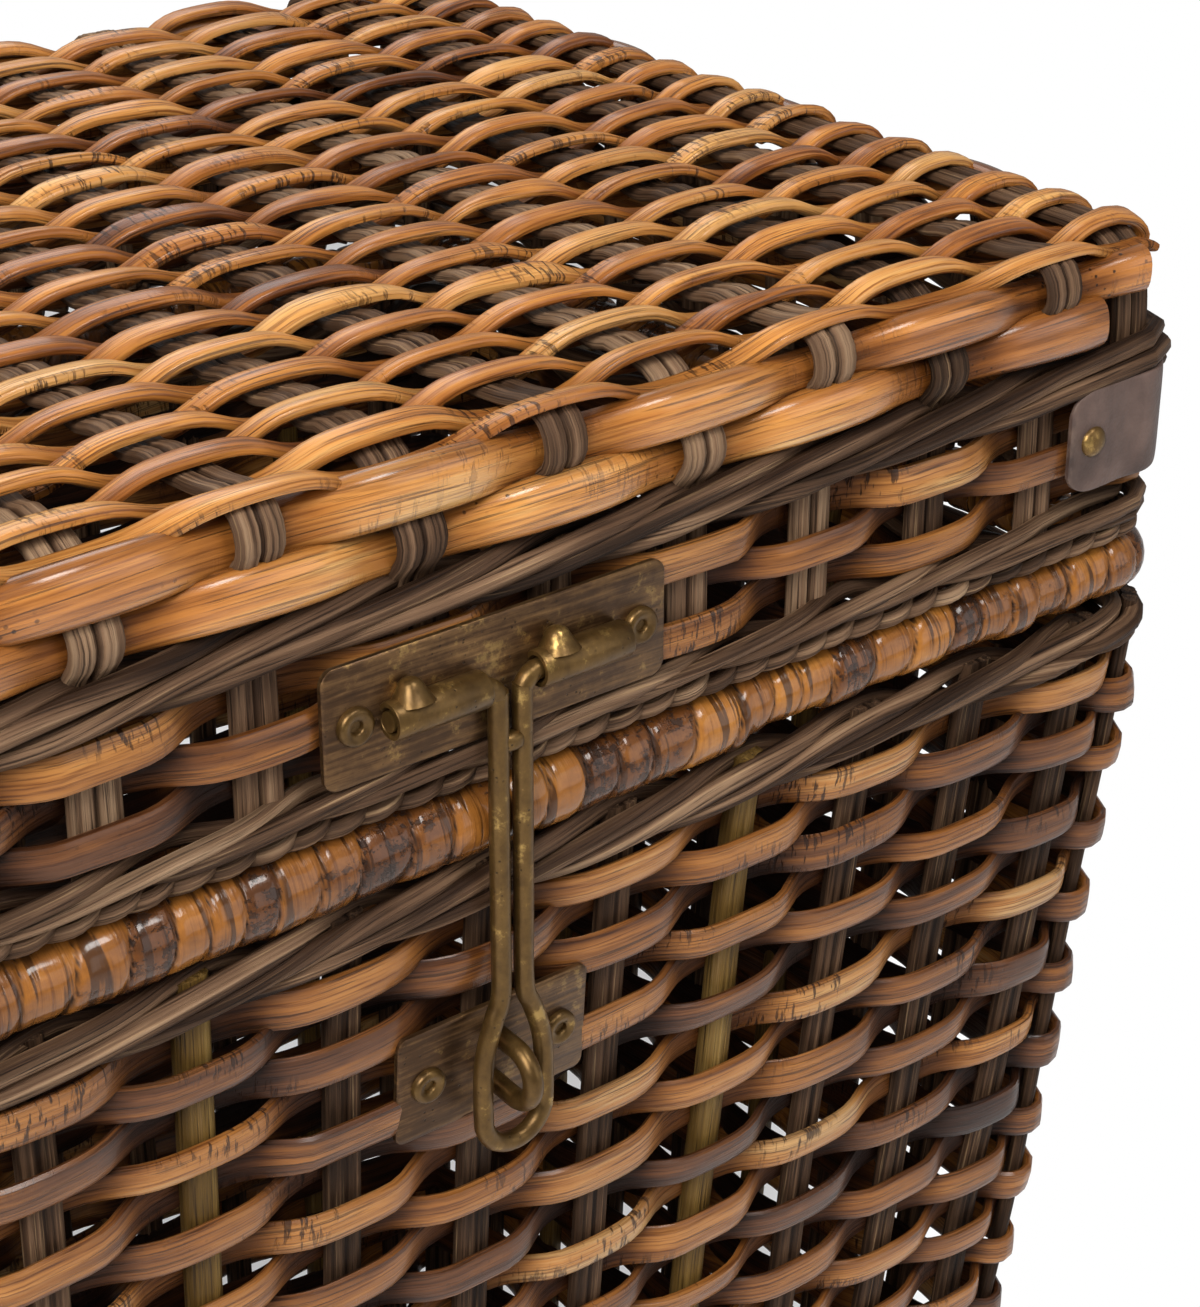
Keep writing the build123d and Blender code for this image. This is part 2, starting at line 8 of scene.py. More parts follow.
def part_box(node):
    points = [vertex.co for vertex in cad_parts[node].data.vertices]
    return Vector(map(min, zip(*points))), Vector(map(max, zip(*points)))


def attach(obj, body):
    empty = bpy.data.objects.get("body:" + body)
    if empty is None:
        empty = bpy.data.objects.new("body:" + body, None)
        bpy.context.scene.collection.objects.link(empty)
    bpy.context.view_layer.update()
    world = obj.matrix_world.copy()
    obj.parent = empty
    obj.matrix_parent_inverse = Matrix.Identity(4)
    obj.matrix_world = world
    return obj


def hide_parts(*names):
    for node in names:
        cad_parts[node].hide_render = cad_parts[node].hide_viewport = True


# a dictionary whose values are also read as its.width
class Spec(dict):
    __getattr__ = dict.__getitem__


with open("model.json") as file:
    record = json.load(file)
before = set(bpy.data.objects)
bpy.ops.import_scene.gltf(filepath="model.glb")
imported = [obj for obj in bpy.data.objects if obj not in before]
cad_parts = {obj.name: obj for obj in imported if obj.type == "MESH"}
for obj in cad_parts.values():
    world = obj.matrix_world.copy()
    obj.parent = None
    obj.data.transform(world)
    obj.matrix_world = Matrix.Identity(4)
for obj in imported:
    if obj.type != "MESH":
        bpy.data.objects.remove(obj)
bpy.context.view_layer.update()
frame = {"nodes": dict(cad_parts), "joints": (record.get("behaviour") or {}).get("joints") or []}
mm = 0.001
chance = np.random.default_rng(37)
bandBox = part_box("edge_band_upper")
plan = Spec(halfWidth=bandBox[1].x, halfDepth=bandBox[1].y, corner=18 * mm, leastCorner=5 * mm,
            lean=math.radians(4.3))
print("hamper: frame loaded")


def levels(node):
    low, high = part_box(node)
    return low.z, high.z


def centredSpots(count, pitch):
    return (np.arange(count) - (count - 1) / 2) * pitch


def fullTurn(sides):
    return np.arange(sides) / sides * 2 * np.pi


def xyz(x, y, z):  # one row for each point, with plain numbers repeated
    return np.column_stack(np.broadcast_arrays(x, y, z))


def outFrom(place, normal, outward, height):  # points some way out from a ring's outline
    return np.column_stack([place + normal * outward[:, None], height])


def pickTone(its):
    return chance.normal(its.tone, its.toneSpread)


# smooth random wandering, one knot every few samples; the stray pairs below are its spacing and size
def drift(count, every, size, closed=False):
    spans = count // every
    knots = chance.normal(0, size, spans + 3)
    at = np.arange(count) / every
    if closed:
        knots[spans] = knots[0]
        at = np.linspace(0, spans, count)
    first = at.astype(int)
    ease = (1 - np.cos(np.pi * (at - first))) / 2
    return knots[first] * (1 - ease) + knots[first + 1] * ease


def smoothStep(value, low, high):
    share = np.clip((value - low) / (high - low), 0, 1)
    return share * share * (3 - 2 * share)


def smoothLine(corners, step):  # a smooth curve through given points
    corners = np.array(corners, float)
    padded = np.vstack([2 * corners[0] - corners[1], corners, 2 * corners[-1] - corners[-2]])
    line = []
    for before, start, stop, after in zip(padded, padded[1:], padded[2:], padded[3:]):
        count = max(2, int(np.linalg.norm(stop - start) / step))
        share = (np.arange(count) / count)[:, None]
        cubic = 3 * (start - stop) + after - before
        square = 2 * before - 5 * start + 4 * stop - after
        line.append(start + 0.5 * share * (stop - before + share * (square + share * cubic)))
    return np.vstack(line + [corners[-1:]])


def overUnder(phase, flat=1.1):  # +1 where the weaver lies over a stake, -1 where it goes behind
    return np.tanh(flat * np.cos(np.pi * phase)) / math.tanh(flat)


# the hamper's rounded outline at one inset, measured from the front's middle towards the right
class Ring:
    def __init__(self, inset, corner=None, wider=0.0):
        self.corner = corner or max(plan.corner - inset, plan.leastCorner)
        self.runX = plan.halfWidth - inset + wider - self.corner
        self.runY = plan.halfDepth - inset - self.corner
        self.arc = self.corner * math.pi / 2
        end = [self.arc, 2 * self.runY, self.arc]
        stretches = [self.runX, *end, 2 * self.runX, *end, self.runX]
        self.starts = np.concatenate([[0], np.cumsum(stretches)])
        self.length = self.starts[-1]

    def at(self, distance):
        distance = np.mod(distance, self.length)
        part = np.clip(np.searchsorted(self.starts, distance, side="right") - 1, 0, 8)
        along = distance - self.starts[part]
        isArc = part % 2 == 1
        angle = (part // 2 - 1) * math.pi / 2 + np.where(isArc, along / self.corner, 0)
        normal = np.column_stack([np.cos(angle), np.sin(angle)])
        heading = np.column_stack([-np.sin(angle), np.cos(angle)])
        middleX = np.array([0, 1, 1, 1, 1, -1, -1, -1, -1])[part] * self.runX
        middleY = np.array([-1, -1, -1, 1, 1, 1, 1, -1, -1])[part] * self.runY
        middle = np.column_stack([middleX, middleY])
        run = np.where(isArc, 0, along)[:, None]
        return middle + normal * self.corner + heading * run, normal

    def stations(self, frontSpots, sideSpots, withCorners=False):
        spots = [x % self.length for x in frontSpots]
        spots += [self.starts[2] + self.runY + y for y in sideSpots]
        spots += [self.starts[4] + self.runX - x for x in frontSpots]
        spots += [self.starts[6] + self.runY - y for y in sideSpots]
        if withCorners:
            spots += [self.starts[part] + self.arc / 2 for part in (1, 3, 5, 7)]
        return np.sort(np.array(spots))

    def walk(self, stations, perStake):  # stake count and distance along one round, starting at the back
        count = len(stations)
        phase = count // 2 + np.linspace(0, count, count * perStake + 1)
        twice = np.concatenate([stations, stations + self.length, [stations[0] + 2 * self.length]])
        return phase, np.interp(phase, np.arange(2 * count + 1), twice)


def ovalProfile(width, depth, sides, square):
    turn = fullTurn(sides)
    aside = width / 2 * np.sign(np.cos(turn)) * np.abs(np.cos(turn)) ** square
    lift = depth / 2 * np.sign(np.sin(turn)) * np.abs(np.sin(turn)) ** square
    return np.column_stack([aside, lift])


def ovalOf(its):
    return ovalProfile(its.width, its.thick, its.sides, its.square)


# flat core, rippled along its faces and split down the middle
def flutedProfile(width, depth, sides=32, flutes=6, groove=0.16, split=0.45, square=0.55, splitWidth=0.15):
    turn = fullTurn(sides)
    aside = np.cos(turn)
    lift = np.sign(np.sin(turn)) * np.abs(np.sin(turn)) ** square
    ripple = 1 - groove * (0.5 + 0.5 * np.cos(2 * np.pi * flutes * (aside + 1) / 2))
    dip = 1 - split * np.exp(-(aside / splitWidth) ** 2)
    return np.column_stack([aside * width / 2, lift * depth / 2 * ripple * dip])


# gathers strands into one mesh, and keeps each strand's own coordinates for its finish
class Bundle:
    def __init__(self):
        self.points, self.coords, self.tones, self.crests, self.faces = [], [], [], [], []
        self.total = 0

    def grid(self, points, coords, tone, crest, capped):
        rings, sides = points.shape[:2]
        index = self.total + np.arange(rings * sides).reshape(rings, sides)
        near, far = index[:-1], index[1:]
        quads = np.stack([near, np.roll(near, -1, 1), np.roll(far, -1, 1), far], -1).reshape(-1, 4)
        self.faces += quads.tolist()
        if capped:
            self.faces += [index[0, ::-1].tolist(), index[-1].tolist()]
        self.points.append(points.reshape(-1, 3))
        self.coords.append(coords.reshape(-1, 3))
        self.tones.append(np.broadcast_to(tone, (rings, sides)).reshape(-1))
        self.crests.append(np.broadcast_to(crest, (rings, sides)).reshape(-1))
        self.total += rings * sides

    def strand(self, centre, acrossHint, profile, tone=0.5, crest=1.0, roll=0.0, wide=1.0, deep=1.0,
               capped=True):
        def column(value):
            return np.broadcast_to(value, len(centre))[:, None]

        centre = np.asarray(centre, float)
        tangent = np.gradient(centre, axis=0)
        tangent /= np.linalg.norm(tangent, axis=1)[:, None]
        hint = np.broadcast_to(np.asarray(acrossHint, float), centre.shape)
        across = hint - (hint * tangent).sum(1)[:, None] * tangent
        across /= np.linalg.norm(across, axis=1)[:, None]
        out = np.cross(tangent, across)
        cosRoll, sinRoll = np.cos(column(roll)), np.sin(column(roll))
        across, out = across * cosRoll + out * sinRoll, out * cosRoll - across * sinRoll
        aside = profile[None, :, 0] * column(wide)
        lift = profile[None, :, 1] * column(deep)
        points = centre[:, None] + aside[..., None] * across[:, None] + lift[..., None] * out[:, None]
        steps = np.linalg.norm(np.diff(centre, axis=0), axis=1)
        grainStart = chance.uniform(0, 9)  # no two strands show the same stretch of grain
        along = np.concatenate([[0], np.cumsum(steps)]) + grainStart
        coords = np.stack([np.broadcast_to(along[:, None], aside.shape), aside, lift], -1)
        self.grid(points, coords, column(tone), column(crest), capped)

    def lathe(self, place, axis, outline, sides, tone):  # outline is (radius, height) pairs from the foot up
        axis = Vector(axis).normalized()
        first = axis.orthogonal().normalized()
        second = axis.cross(first)
        turn = fullTurn(sides)
        circle = np.outer(np.cos(turn), first) + np.outer(np.sin(turn), second)
        outline = np.array(outline, float)
        points = np.array(place) + outline[:, None, :1] * circle + outline[:, None, 1:] * np.array(axis)
        self.grid(points, points - np.array(place), tone, 1.0, True)

    def piece(self, name, finish, slot, body, *nodes, sharp=48):
        mesh = bpy.data.meshes.new(name)
        mesh.from_pydata(np.vstack(self.points).tolist(), [], self.faces)
        coords = mesh.attributes.new("strandCoord", "FLOAT_VECTOR", "POINT")
        coords.data.foreach_set("vector", np.vstack(self.coords).astype(np.float32).ravel())
        for key, values in (("strandTone", self.tones), ("strandCrest", self.crests)):
            stored = mesh.attributes.new(key, "FLOAT", "POINT")
            stored.data.foreach_set("value", np.concatenate(values).astype(np.float32))
        mesh.materials.append(finish)
        mesh.shade_smooth()
        mesh.set_sharp_from_angle(angle=math.radians(sharp))
        made = bpy.data.objects.new(name, mesh)
        bpy.context.scene.collection.objects.link(made)
        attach(made, body)
        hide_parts(*nodes)
        print(f"hamper: {name}, {len(self.faces)} faces")


# one value or colour among the nodes, so that a finish reads as plain arithmetic
class Shade:
    def __init__(self, nodes, socket):
        self.nodes, self.socket = nodes, socket

    def __add__(self, other):
        return self.nodes.maths("ADD", self, other)

    def __radd__(self, other):
        return self.nodes.maths("ADD", other, self)

    def __sub__(self, other):
        return self.nodes.maths("SUBTRACT", self, other)

    def __rsub__(self, other):
        return self.nodes.maths("SUBTRACT", other, self)

    def __mul__(self, other):
        return self.nodes.maths("MULTIPLY", self, other)

    def __rmul__(self, other):
        return self.nodes.maths("MULTIPLY", other, self)


# the nodes of a finish or of the sky
class Nodes:
    def __init__(self, tree):
        self.tree = tree

    def node(self, kind, settings, sockets, out=0):
        made = self.tree.nodes.new("ShaderNode" + kind)
        for key, value in settings.items():
            if key == "stops":
                self.setStops(made.color_ramp, value)
            else:
                setattr(made, key, value)
        for key, value in sockets.items():
            self.plug(made.inputs[key], value)
        return Shade(self, made.outputs[out])

    def setStops(self, ramp, stops):
        while len(ramp.elements) < len(stops):
            ramp.elements.new(1.0)
        for element, (position, tint) in zip(ramp.elements, stops):
            element.position = position
            element.color = (*tint, 1)

    def plug(self, socket, value):
        if isinstance(value, Shade):
            self.tree.links.new(value.socket, socket)
        else:
            socket.default_value = value

    def maths(self, operation, *values):
        return self.node("Math", {"operation": operation}, dict(enumerate(values)))

    def vectors(self, operation, *values, out=0):
        return self.node("VectorMath", {"operation": operation}, dict(enumerate(values)), out)

    def ray(self, kind):
        return self.node("LightPath", {}, {}, kind)

    def strand(self):  # place along, across and out from the strand, its tone, and how far it lies in front
        place = self.node("Attribute", {"attribute_name": "strandCoord"}, {}, "Vector")
        tone = self.node("Attribute", {"attribute_name": "strandTone"}, {}, "Fac")
        return place, tone, self.crest()

    def crest(self):
        return self.node("Attribute", {"attribute_name": "strandCrest"}, {}, "Fac")

    def objectPlace(self):
        return self.node("TexCoord", {}, {}, "Object")

    def noise(self, place, amounts, detail=2.0, rough=0.5):
        stretched = self.vectors("MULTIPLY", place, amounts)
        sockets = {"Vector": stretched, "Scale": 1.0, "Detail": detail, "Roughness": rough}
        return self.node("TexNoise", {}, sockets)

    def cells(self, place, amounts):
        return self.node("TexVoronoi", {}, {"Vector": self.vectors("MULTIPLY", place, amounts), "Scale": 1.0})

    def band(self, value, low, high):  # 0 below low, 1 above high, smooth between
        return self.node("MapRange", {"interpolation_type": "SMOOTHSTEP"},
                         {"Value": value, "From Min": low, "From Max": high})

    def aside(self, place):  # distance from the strand's middle line
        return self.maths("ABSOLUTE", self.node("SeparateXYZ", {}, {0: place}, 1))

    def ramp(self, value, stops):
        return self.node("ValToRGB", {"stops": stops}, {0: value})

    def mix(self, amount, first, second, blend="MIX"):
        settings = {"data_type": "RGBA", "blend_type": blend}
        return self.node("Mix", settings, {0: amount, 6: first, 7: second}, 2)

    def times(self, base, tint):
        return self.mix(1.0, base, tint, "MULTIPLY")

    def darken(self, amount, base, tint):
        return self.mix(amount, base, self.times(base, tint))


class Finish(Nodes):
    def __init__(self, name, **fixed):
        self.material = bpy.data.materials.new(name)
        self.material.use_nodes = True
        super().__init__(self.material.node_tree)
        self.shader = self.tree.nodes["Principled BSDF"]
        for socket, value in fixed.items():
            self.feed(socket.replace("_", " "), value)

    def feed(self, socket, value):
        self.plug(self.shader.inputs[socket], value)

    def bump(self, height, strength, distance):
        sockets = {"Strength": strength, "Distance": distance, "Height": height}
        self.feed("Normal", self.node("Bump", {}, sockets))


def colour(red, green, blue):
    return (red, green, blue, 1)


# lacquered weavers: amber to dark brown, with fibres, cross cracks and black specks; painted shade where they
# dive and along their edges, painted light on their crests
def rattanWeaver(name, stops, halfWidth, fibreDark=0.85, cracked=0.6, coat=0.3, rough=0.34, specked=0.3,
                 edgeShade=0.5, crestPaintedLight=0.2, diveShadeDepth=0.8):
    skin = Finish(name, Coat_Roughness=0.2, Specular_IOR_Level=0.15)
    place, tone, crest = skin.strand()
    fibre = skin.noise(place, (40, 1500, 1500), 3.0, 0.6)
    streak = skin.noise(place, (11, 460, 460), 2.0)
    blotch = skin.noise(place, (30, 120, 120), 3.0, 0.6)
    # painted light: the crest, where the weaver lies in front, is lifted brighter and the flanks lowered
    shade = tone + (blotch - 0.5) * 0.75 + (streak - 0.5) * 0.75 + (crest - 0.6) * crestPaintedLight
    base = skin.ramp(shade, stops)
    crackPatch = skin.band(skin.noise(place, (19, 40, 40), 1.0) + (tone - 0.5) * 0.12, 0.53, 0.66)
    crackLine = skin.band(skin.noise(place, (820, 150, 150), 2.0, 0.65), 0.54, 0.64)
    crack = crackLine * crackPatch * cracked
    speckPatch = skin.band(skin.noise(place, (24, 60, 60), 1.0), 0.56, 0.68)
    speck = (1 - skin.band(skin.cells(place, (420, 420, 420)), 0.12, 0.24)) * speckPatch * specked
    grain = skin.band(fibre, 0.47, 0.68) * fibreDark
    line = skin.band(skin.noise(place, (24, 1250, 1250), 3.0, 0.6), 0.57, 0.68) * 0.62
    # painted shade along the weaver's edges, partly a dark stain
    edge = skin.band(skin.aside(place), halfWidth * 0.55, halfWidth) * edgeShade
    # painted shade: darker where the weaver dives behind a stake
    diveShade = (1 - skin.band(crest, 0.08, 0.88)) * diveShadeDepth
    coloured = skin.darken(grain, base, colour(0.34, 0.25, 0.20))
    coloured = skin.mix(line, coloured, colour(0.020, 0.009, 0.004))
    coloured = skin.darken(edge, coloured, colour(0.28, 0.20, 0.16))
    coloured = skin.mix(crack, coloured, colour(0.020, 0.008, 0.004))
    coloured = skin.mix(speck, coloured, colour(0.012, 0.006, 0.003))
    coloured = skin.darken(diveShade, coloured, colour(0.20, 0.13, 0.10))
    skin.feed("Base Color", coloured)
    skin.feed("Roughness", rough + (fibre - 0.5) * 0.25 + crack * 0.3 + line * 0.2 + (1 - crest) * 0.2)
    skin.feed("Coat Weight", skin.band(crest, 0.35, 0.95) * coat)
    skin.bump(fibre * 0.6 + streak * 0.6 - crack * 1.6 - line * 0.8 - speck * 0.5, 0.85, 0.5 * mm)
    return skin.material


# bare rattan core: grey brown, fibrous, with pale splinters along the grooves
def rattanCore(name, stops, halfWidth, pale=0.5, rough=0.58, edgeShade=0.4, splitShade=0.0):
    skin = Finish(name, Specular_IOR_Level=0.10)
    place, tone, crest = skin.strand()
    fibre = skin.noise(place, (30, 1500, 1500), 3.0, 0.65)
    groove = skin.noise(place, (8, 700, 700), 2.0)
    blotch = skin.noise(place, (26, 90, 90), 2.0)
    base = skin.ramp(tone + (blotch - 0.5) * 0.8 + (groove - 0.5) * 1.1, stops)
    splinter = skin.band(fibre, 0.55, 0.70) * skin.band(blotch, 0.36, 0.60) * pale
    furrow = 1 - skin.band(fibre, 0.32, 0.48)
    aside = skin.aside(place)
    # painted shade along the rod's edges, to part the rods
    edge = skin.band(aside, halfWidth * 0.5, halfWidth) * edgeShade
    # painted shade down the split between the paired strips
    seamShade = (1 - skin.band(aside, halfWidth * 0.04, halfWidth * 0.2)) * splitShade
    coloured = skin.mix(splinter, base, colour(0.40, 0.26, 0.14))
    coloured = skin.mix(furrow * 0.85, coloured, colour(0.014, 0.007, 0.004))
    # painted shade: darker where the rod lies behind, by its crest
    coloured = skin.mix((1 - crest) * 0.7, coloured, skin.times(base, colour(0.16, 0.11, 0.09)))
    coloured = skin.darken(skin.maths("MAXIMUM", edge, seamShade), coloured, colour(0.12, 0.08, 0.06))
    skin.feed("Base Color", coloured)
    skin.feed("Roughness", rough + (fibre - 0.5) * 0.3)
    skin.bump(fibre * 1.0 + groove * 0.9, 0.95, 0.7 * mm)
    return skin.material


peelStops = [(0.10, (0.026, 0.009, 0.003)), (0.34, (0.105, 0.036, 0.009)), (0.60, (0.260, 0.098, 0.018)),
             (0.9, (0.470, 0.200, 0.036))]


# rattan peel wound round the rim: glossy, with painted shade in the seams between wraps, and crazed patches
def rattanPeel(name):
    skin = Finish(name, Coat_Roughness=0.10, Specular_IOR_Level=0.2)
    place, tone, crest = skin.strand()
    fibre = skin.noise(place, (900, 50, 50), 3.0, 0.6)
    stripe = skin.noise(place, (420, 30, 30), 2.0)
    blotch = skin.noise(place, (70, 95, 95), 4.0, 0.65)
    craze = skin.noise(place, (260, 330, 330), 4.0, 0.75)
    base = skin.ramp(tone * 0.6 + blotch * 0.75 - 0.27, peelStops)
    crazed = skin.band(craze, 0.53, 0.58) * (1 - skin.band(blotch + (tone - 0.5) * 0.6, 0.42, 0.56))
    # painted shade in the seams between the wraps
    seamShade = 1 - skin.band(crest, 0.06, 0.62)
    line = skin.band(stripe, 0.55, 0.63) * 0.8
    grain = skin.band(fibre, 0.50, 0.68) * 0.55
    coloured = skin.darken(grain, base, colour(0.32, 0.24, 0.20))
    coloured = skin.mix(line, coloured, colour(0.026, 0.010, 0.004))
    coloured = skin.mix(crazed * 0.85, coloured, colour(0.022, 0.009, 0.004))
    coloured = skin.mix(seamShade * 0.95, coloured, colour(0.010, 0.005, 0.003))
    skin.feed("Base Color", coloured)
    skin.feed("Roughness", 0.25 + (fibre - 0.5) * 0.12 + crazed * 0.25 + seamShade * 0.35)
    skin.feed("Coat Weight", skin.band(crest, 0.3, 0.9) * 0.5)
    skin.bump(fibre * 0.5 - crazed * 1.1 - line * 0.7 + blotch * 0.6, 0.8, 0.5 * mm)
    return skin.material


# aged brass: brown olive, brushed along the plate, gold where it has been rubbed
def antiqueBrass(name, stops, brushed=(60, 900, 900), rub=0.5, rough=0.4, mottled=0.55):
    metal = Finish(name, Specular_IOR_Level=0.5)
    place = metal.objectPlace()
    brush = metal.noise(place, brushed, 3.0, 0.6)
    mottle = metal.noise(place, (190, 190, 190), 4.0, 0.7)
    cloud = metal.noise(place, (48, 48, 48), 2.0)
    pits = 1 - metal.band(metal.cells(place, (520, 520, 520)), 0.08, 0.20)
    pits = pits * metal.band(metal.noise(place, (90, 90, 90), 1.0), 0.5, 0.62)
    base = metal.ramp(mottle * mottled + brush * (0.9 - mottled) + cloud * 0.35 - 0.12, stops)
    worn = metal.band(mottle + (cloud - 0.5) * 0.5, 0.58, 0.72) * rub
    coloured = metal.mix(worn, base, colour(0.50, 0.33, 0.11))
    coloured = metal.mix(pits * 0.7, coloured, colour(0.02, 0.013, 0.007))
    metal.feed("Base Color", coloured)
    metal.feed("Metallic", 0.72 + worn * 0.25)
    metal.feed("Roughness", rough + (brush - 0.5) * 0.3 - worn * 0.12 + pits * 0.25)
    metal.bump(brush * 0.8 + mottle * 0.5 - pits * 0.8, 0.55, 0.25 * mm)
    return metal.material


leatherStops = [(0.3, (0.034, 0.021, 0.017)), (0.55, (0.078, 0.049, 0.040)), (0.8, (0.145, 0.093, 0.075))]


def darkLeather(name):
    hide = Finish(name, Specular_IOR_Level=0.3)
    place = hide.objectPlace()
    pebble = hide.cells(place, (900, 900, 900))
    crease = hide.noise(place, (240, 240, 90), 4.0, 0.65)
    cloud = hide.noise(place, (70, 70, 70), 3.0)
    base = hide.ramp(cloud * 0.8 + crease * 0.3, leatherStops)
    worn = (1 - hide.crest()) * 0.6 * hide.band(crease, 0.4, 0.6)
    hide.feed("Base Color", hide.mix(worn, base, colour(0.17, 0.115, 0.085)))
    hide.feed("Roughness", 0.46 + (crease - 0.5) * 0.35)
    hide.bump(pebble * 0.5 + crease * 0.8, 0.6, 0.35 * mm)
    return hide.material


amberStops = [(0.05, (0.045, 0.014, 0.005)), (0.30, (0.160, 0.050, 0.012)), (0.52, (0.360, 0.125, 0.024)),
              (0.75, (0.570, 0.240, 0.052)), (1.0, (0.670, 0.355, 0.110))]
wallStops = [(0.05, (0.030, 0.011, 0.005)), (0.30, (0.110, 0.041, 0.014)), (0.54, (0.250, 0.094, 0.020)),
             (0.78, (0.390, 0.167, 0.042)), (1.0, (0.470, 0.270, 0.105))]
bandStops = [(0.05, (0.070, 0.023, 0.007)), (0.30, (0.240, 0.082, 0.016)), (0.58, (0.430, 0.162, 0.032)),
             (0.82, (0.560, 0.245, 0.056)), (1.0, (0.660, 0.370, 0.125))]
coreStops = [(0.05, (0.026, 0.014, 0.008)), (0.40, (0.088, 0.048, 0.027)), (0.65, (0.175, 0.102, 0.059)),
             (1.0, (0.320, 0.210, 0.127))]
oliveStops = [(0.05, (0.055, 0.030, 0.008)), (0.45, (0.140, 0.080, 0.020)), (0.75, (0.230, 0.145, 0.042)),
              (1.0, (0.340, 0.230, 0.090))]
brassStops = [(0.10, (0.030, 0.016, 0.005)), (0.42, (0.085, 0.046, 0.013)), (0.68, (0.165, 0.094, 0.027)),
              (0.95, (0.340, 0.212, 0.066))]
plateStops = [(0.20, (0.020, 0.010, 0.005)), (0.46, (0.064, 0.032, 0.013)), (0.62, (0.155, 0.083, 0.032)),
              (0.85, (0.400, 0.240, 0.095))]
finishes = Spec(
    top=rattanWeaver("amberWeaver", amberStops, halfWidth=3.4 * mm, cracked=0.8, coat=0.55, edgeShade=0.35,
                     crestPaintedLight=0.1, diveShadeDepth=0.4),
    wall=rattanWeaver("brownWeaver", wallStops, halfWidth=4.6 * mm, cracked=0.85, coat=0.42, specked=0.2,
                      crestPaintedLight=0.3, diveShadeDepth=0.75),
    band=rattanWeaver("edgeBand", bandStops, halfWidth=6.2 * mm, fibreDark=0.6, cracked=0.3, coat=1.0,
                      rough=0.28, specked=0.9, edgeShade=0.55, diveShadeDepth=0.6),
    core=rattanCore("rattanCore", coreStops, halfWidth=5.8 * mm, splitShade=0.8),
    wale=rattanCore("twistedCore", coreStops, halfWidth=2.5 * mm, pale=0.6, rough=0.5, edgeShade=0.8),
    olive=rattanCore("oliveCore", oliveStops, halfWidth=4.4 * mm, pale=0.25, rough=0.42),
    peel=rattanPeel("rimPeel"),
    brass=antiqueBrass("agedBrass", brassStops, brushed=(260, 260, 90), rub=0.55, rough=0.36),
    plate=antiqueBrass("brushedPlate", plateStops, rub=0.3, rough=0.38, mottled=0.28),
    leather=darkLeather("darkLeather"))
print("hamper: finishes made")

# shared places of the lid's stakes
lidPlan = Spec(frontCount=10, frontPitch=37.4 * mm, sideCount=8, sidePitch=36 * mm)
lidFront = centredSpots(lidPlan.frontCount, lidPlan.frontPitch)
lidSide = centredSpots(lidPlan.sideCount, lidPlan.sidePitch)
flatBend = 1.5  # how squarely a flat weaver lies over a stake

# how far a row strays from even work: pairs are a spacing in stakes and a size
rowHand = Spec(frontFrom=0.3, frontBy=0.9, tighter=0.3, dip=0.4 * mm, loose=(2, 0.10), reach=(2, 0.3 * mm),
               tone=(3, 0.14), roll=(1, 0.10), widthSpread=0.06, width=(2, 0.07))


# one weaver round the hamper; rows lie a little looser on the front than on the other sides
def addRow(bundle, ring, stations, level, over, its, profile, lean=0.0):
    phase, distance = ring.walk(stations, its.perStake)
    place, normal = ring.at(distance)

    def stray(stakes, size):
        return drift(len(distance), its.perStake * stakes, size, closed=True)

    wave = overUnder(phase + over, flatBend)
    aside = 1 - smoothStep(-normal[:, 1], rowHand.frontFrom, rowHand.frontBy)
    loose = 1 - rowHand.tighter * aside + stray(*rowHand.loose)
    reach = its.swing * wave * loose + stray(*rowHand.reach)
    reach = np.minimum(reach, its.most)  # the plates lie over the rows
    height = level + stray(*its.levelStray) - rowHand.dip * wave
    up = np.column_stack([normal * math.sin(lean), np.full(len(normal), math.cos(lean))])
    # painted light and shade: rows lighter or darker from left to right
    tones = pickTone(its) + stray(*rowHand.tone) + its.toneSlope * place[:, 0]
    roll = stray(*rowHand.roll)
    wide = chance.normal(1, rowHand.widthSpread) + stray(*rowHand.width)
    wide = wide + (its.tight - wide) * aside
    centre = outFrom(place, normal, reach, height)
    bundle.strand(centre, up, profile, tones, 0.5 + 0.5 * wave, roll, wide, capped=False)


# loop and tuck are the weavers' ends in mm, as the place across and the rise from the last stake
topWeave = Spec(firstRow=7.0 * mm, rows=34, width=7.0 * mm, thick=2.8 * mm, sides=14, square=0.58,
                swing=3.2 * mm, perStake=12, edgeBend=2.0 * mm, edgeStake=199 * mm, sample=2 * mm,
                loop=[(206, -1.8), (210.2, -6.2), (208, -11), (201, -12.6)], tuck=[(203, 0.2), (206, -1.4)],
                tone=0.76, toneSpread=0.13, toneSlope=-0.6, swingStray=(18, 0.09), liftStray=(14, 0.25 * mm),
                rowStray=(16, 0.7 * mm), toneStray=(26, 0.10), rollStray=(10, 0.13), sizeStray=(24, 0.07))


# a weaver that ends over the last stake loops down outside, one that ends under it is tucked in
def weaverEnd(end, middle, sign):
    shape = np.array(topWeave["loop" if end[1] > middle else "tuck"]) * mm
    return np.column_stack([sign * shape[:, 0], end[1] + shape[:, 1]])


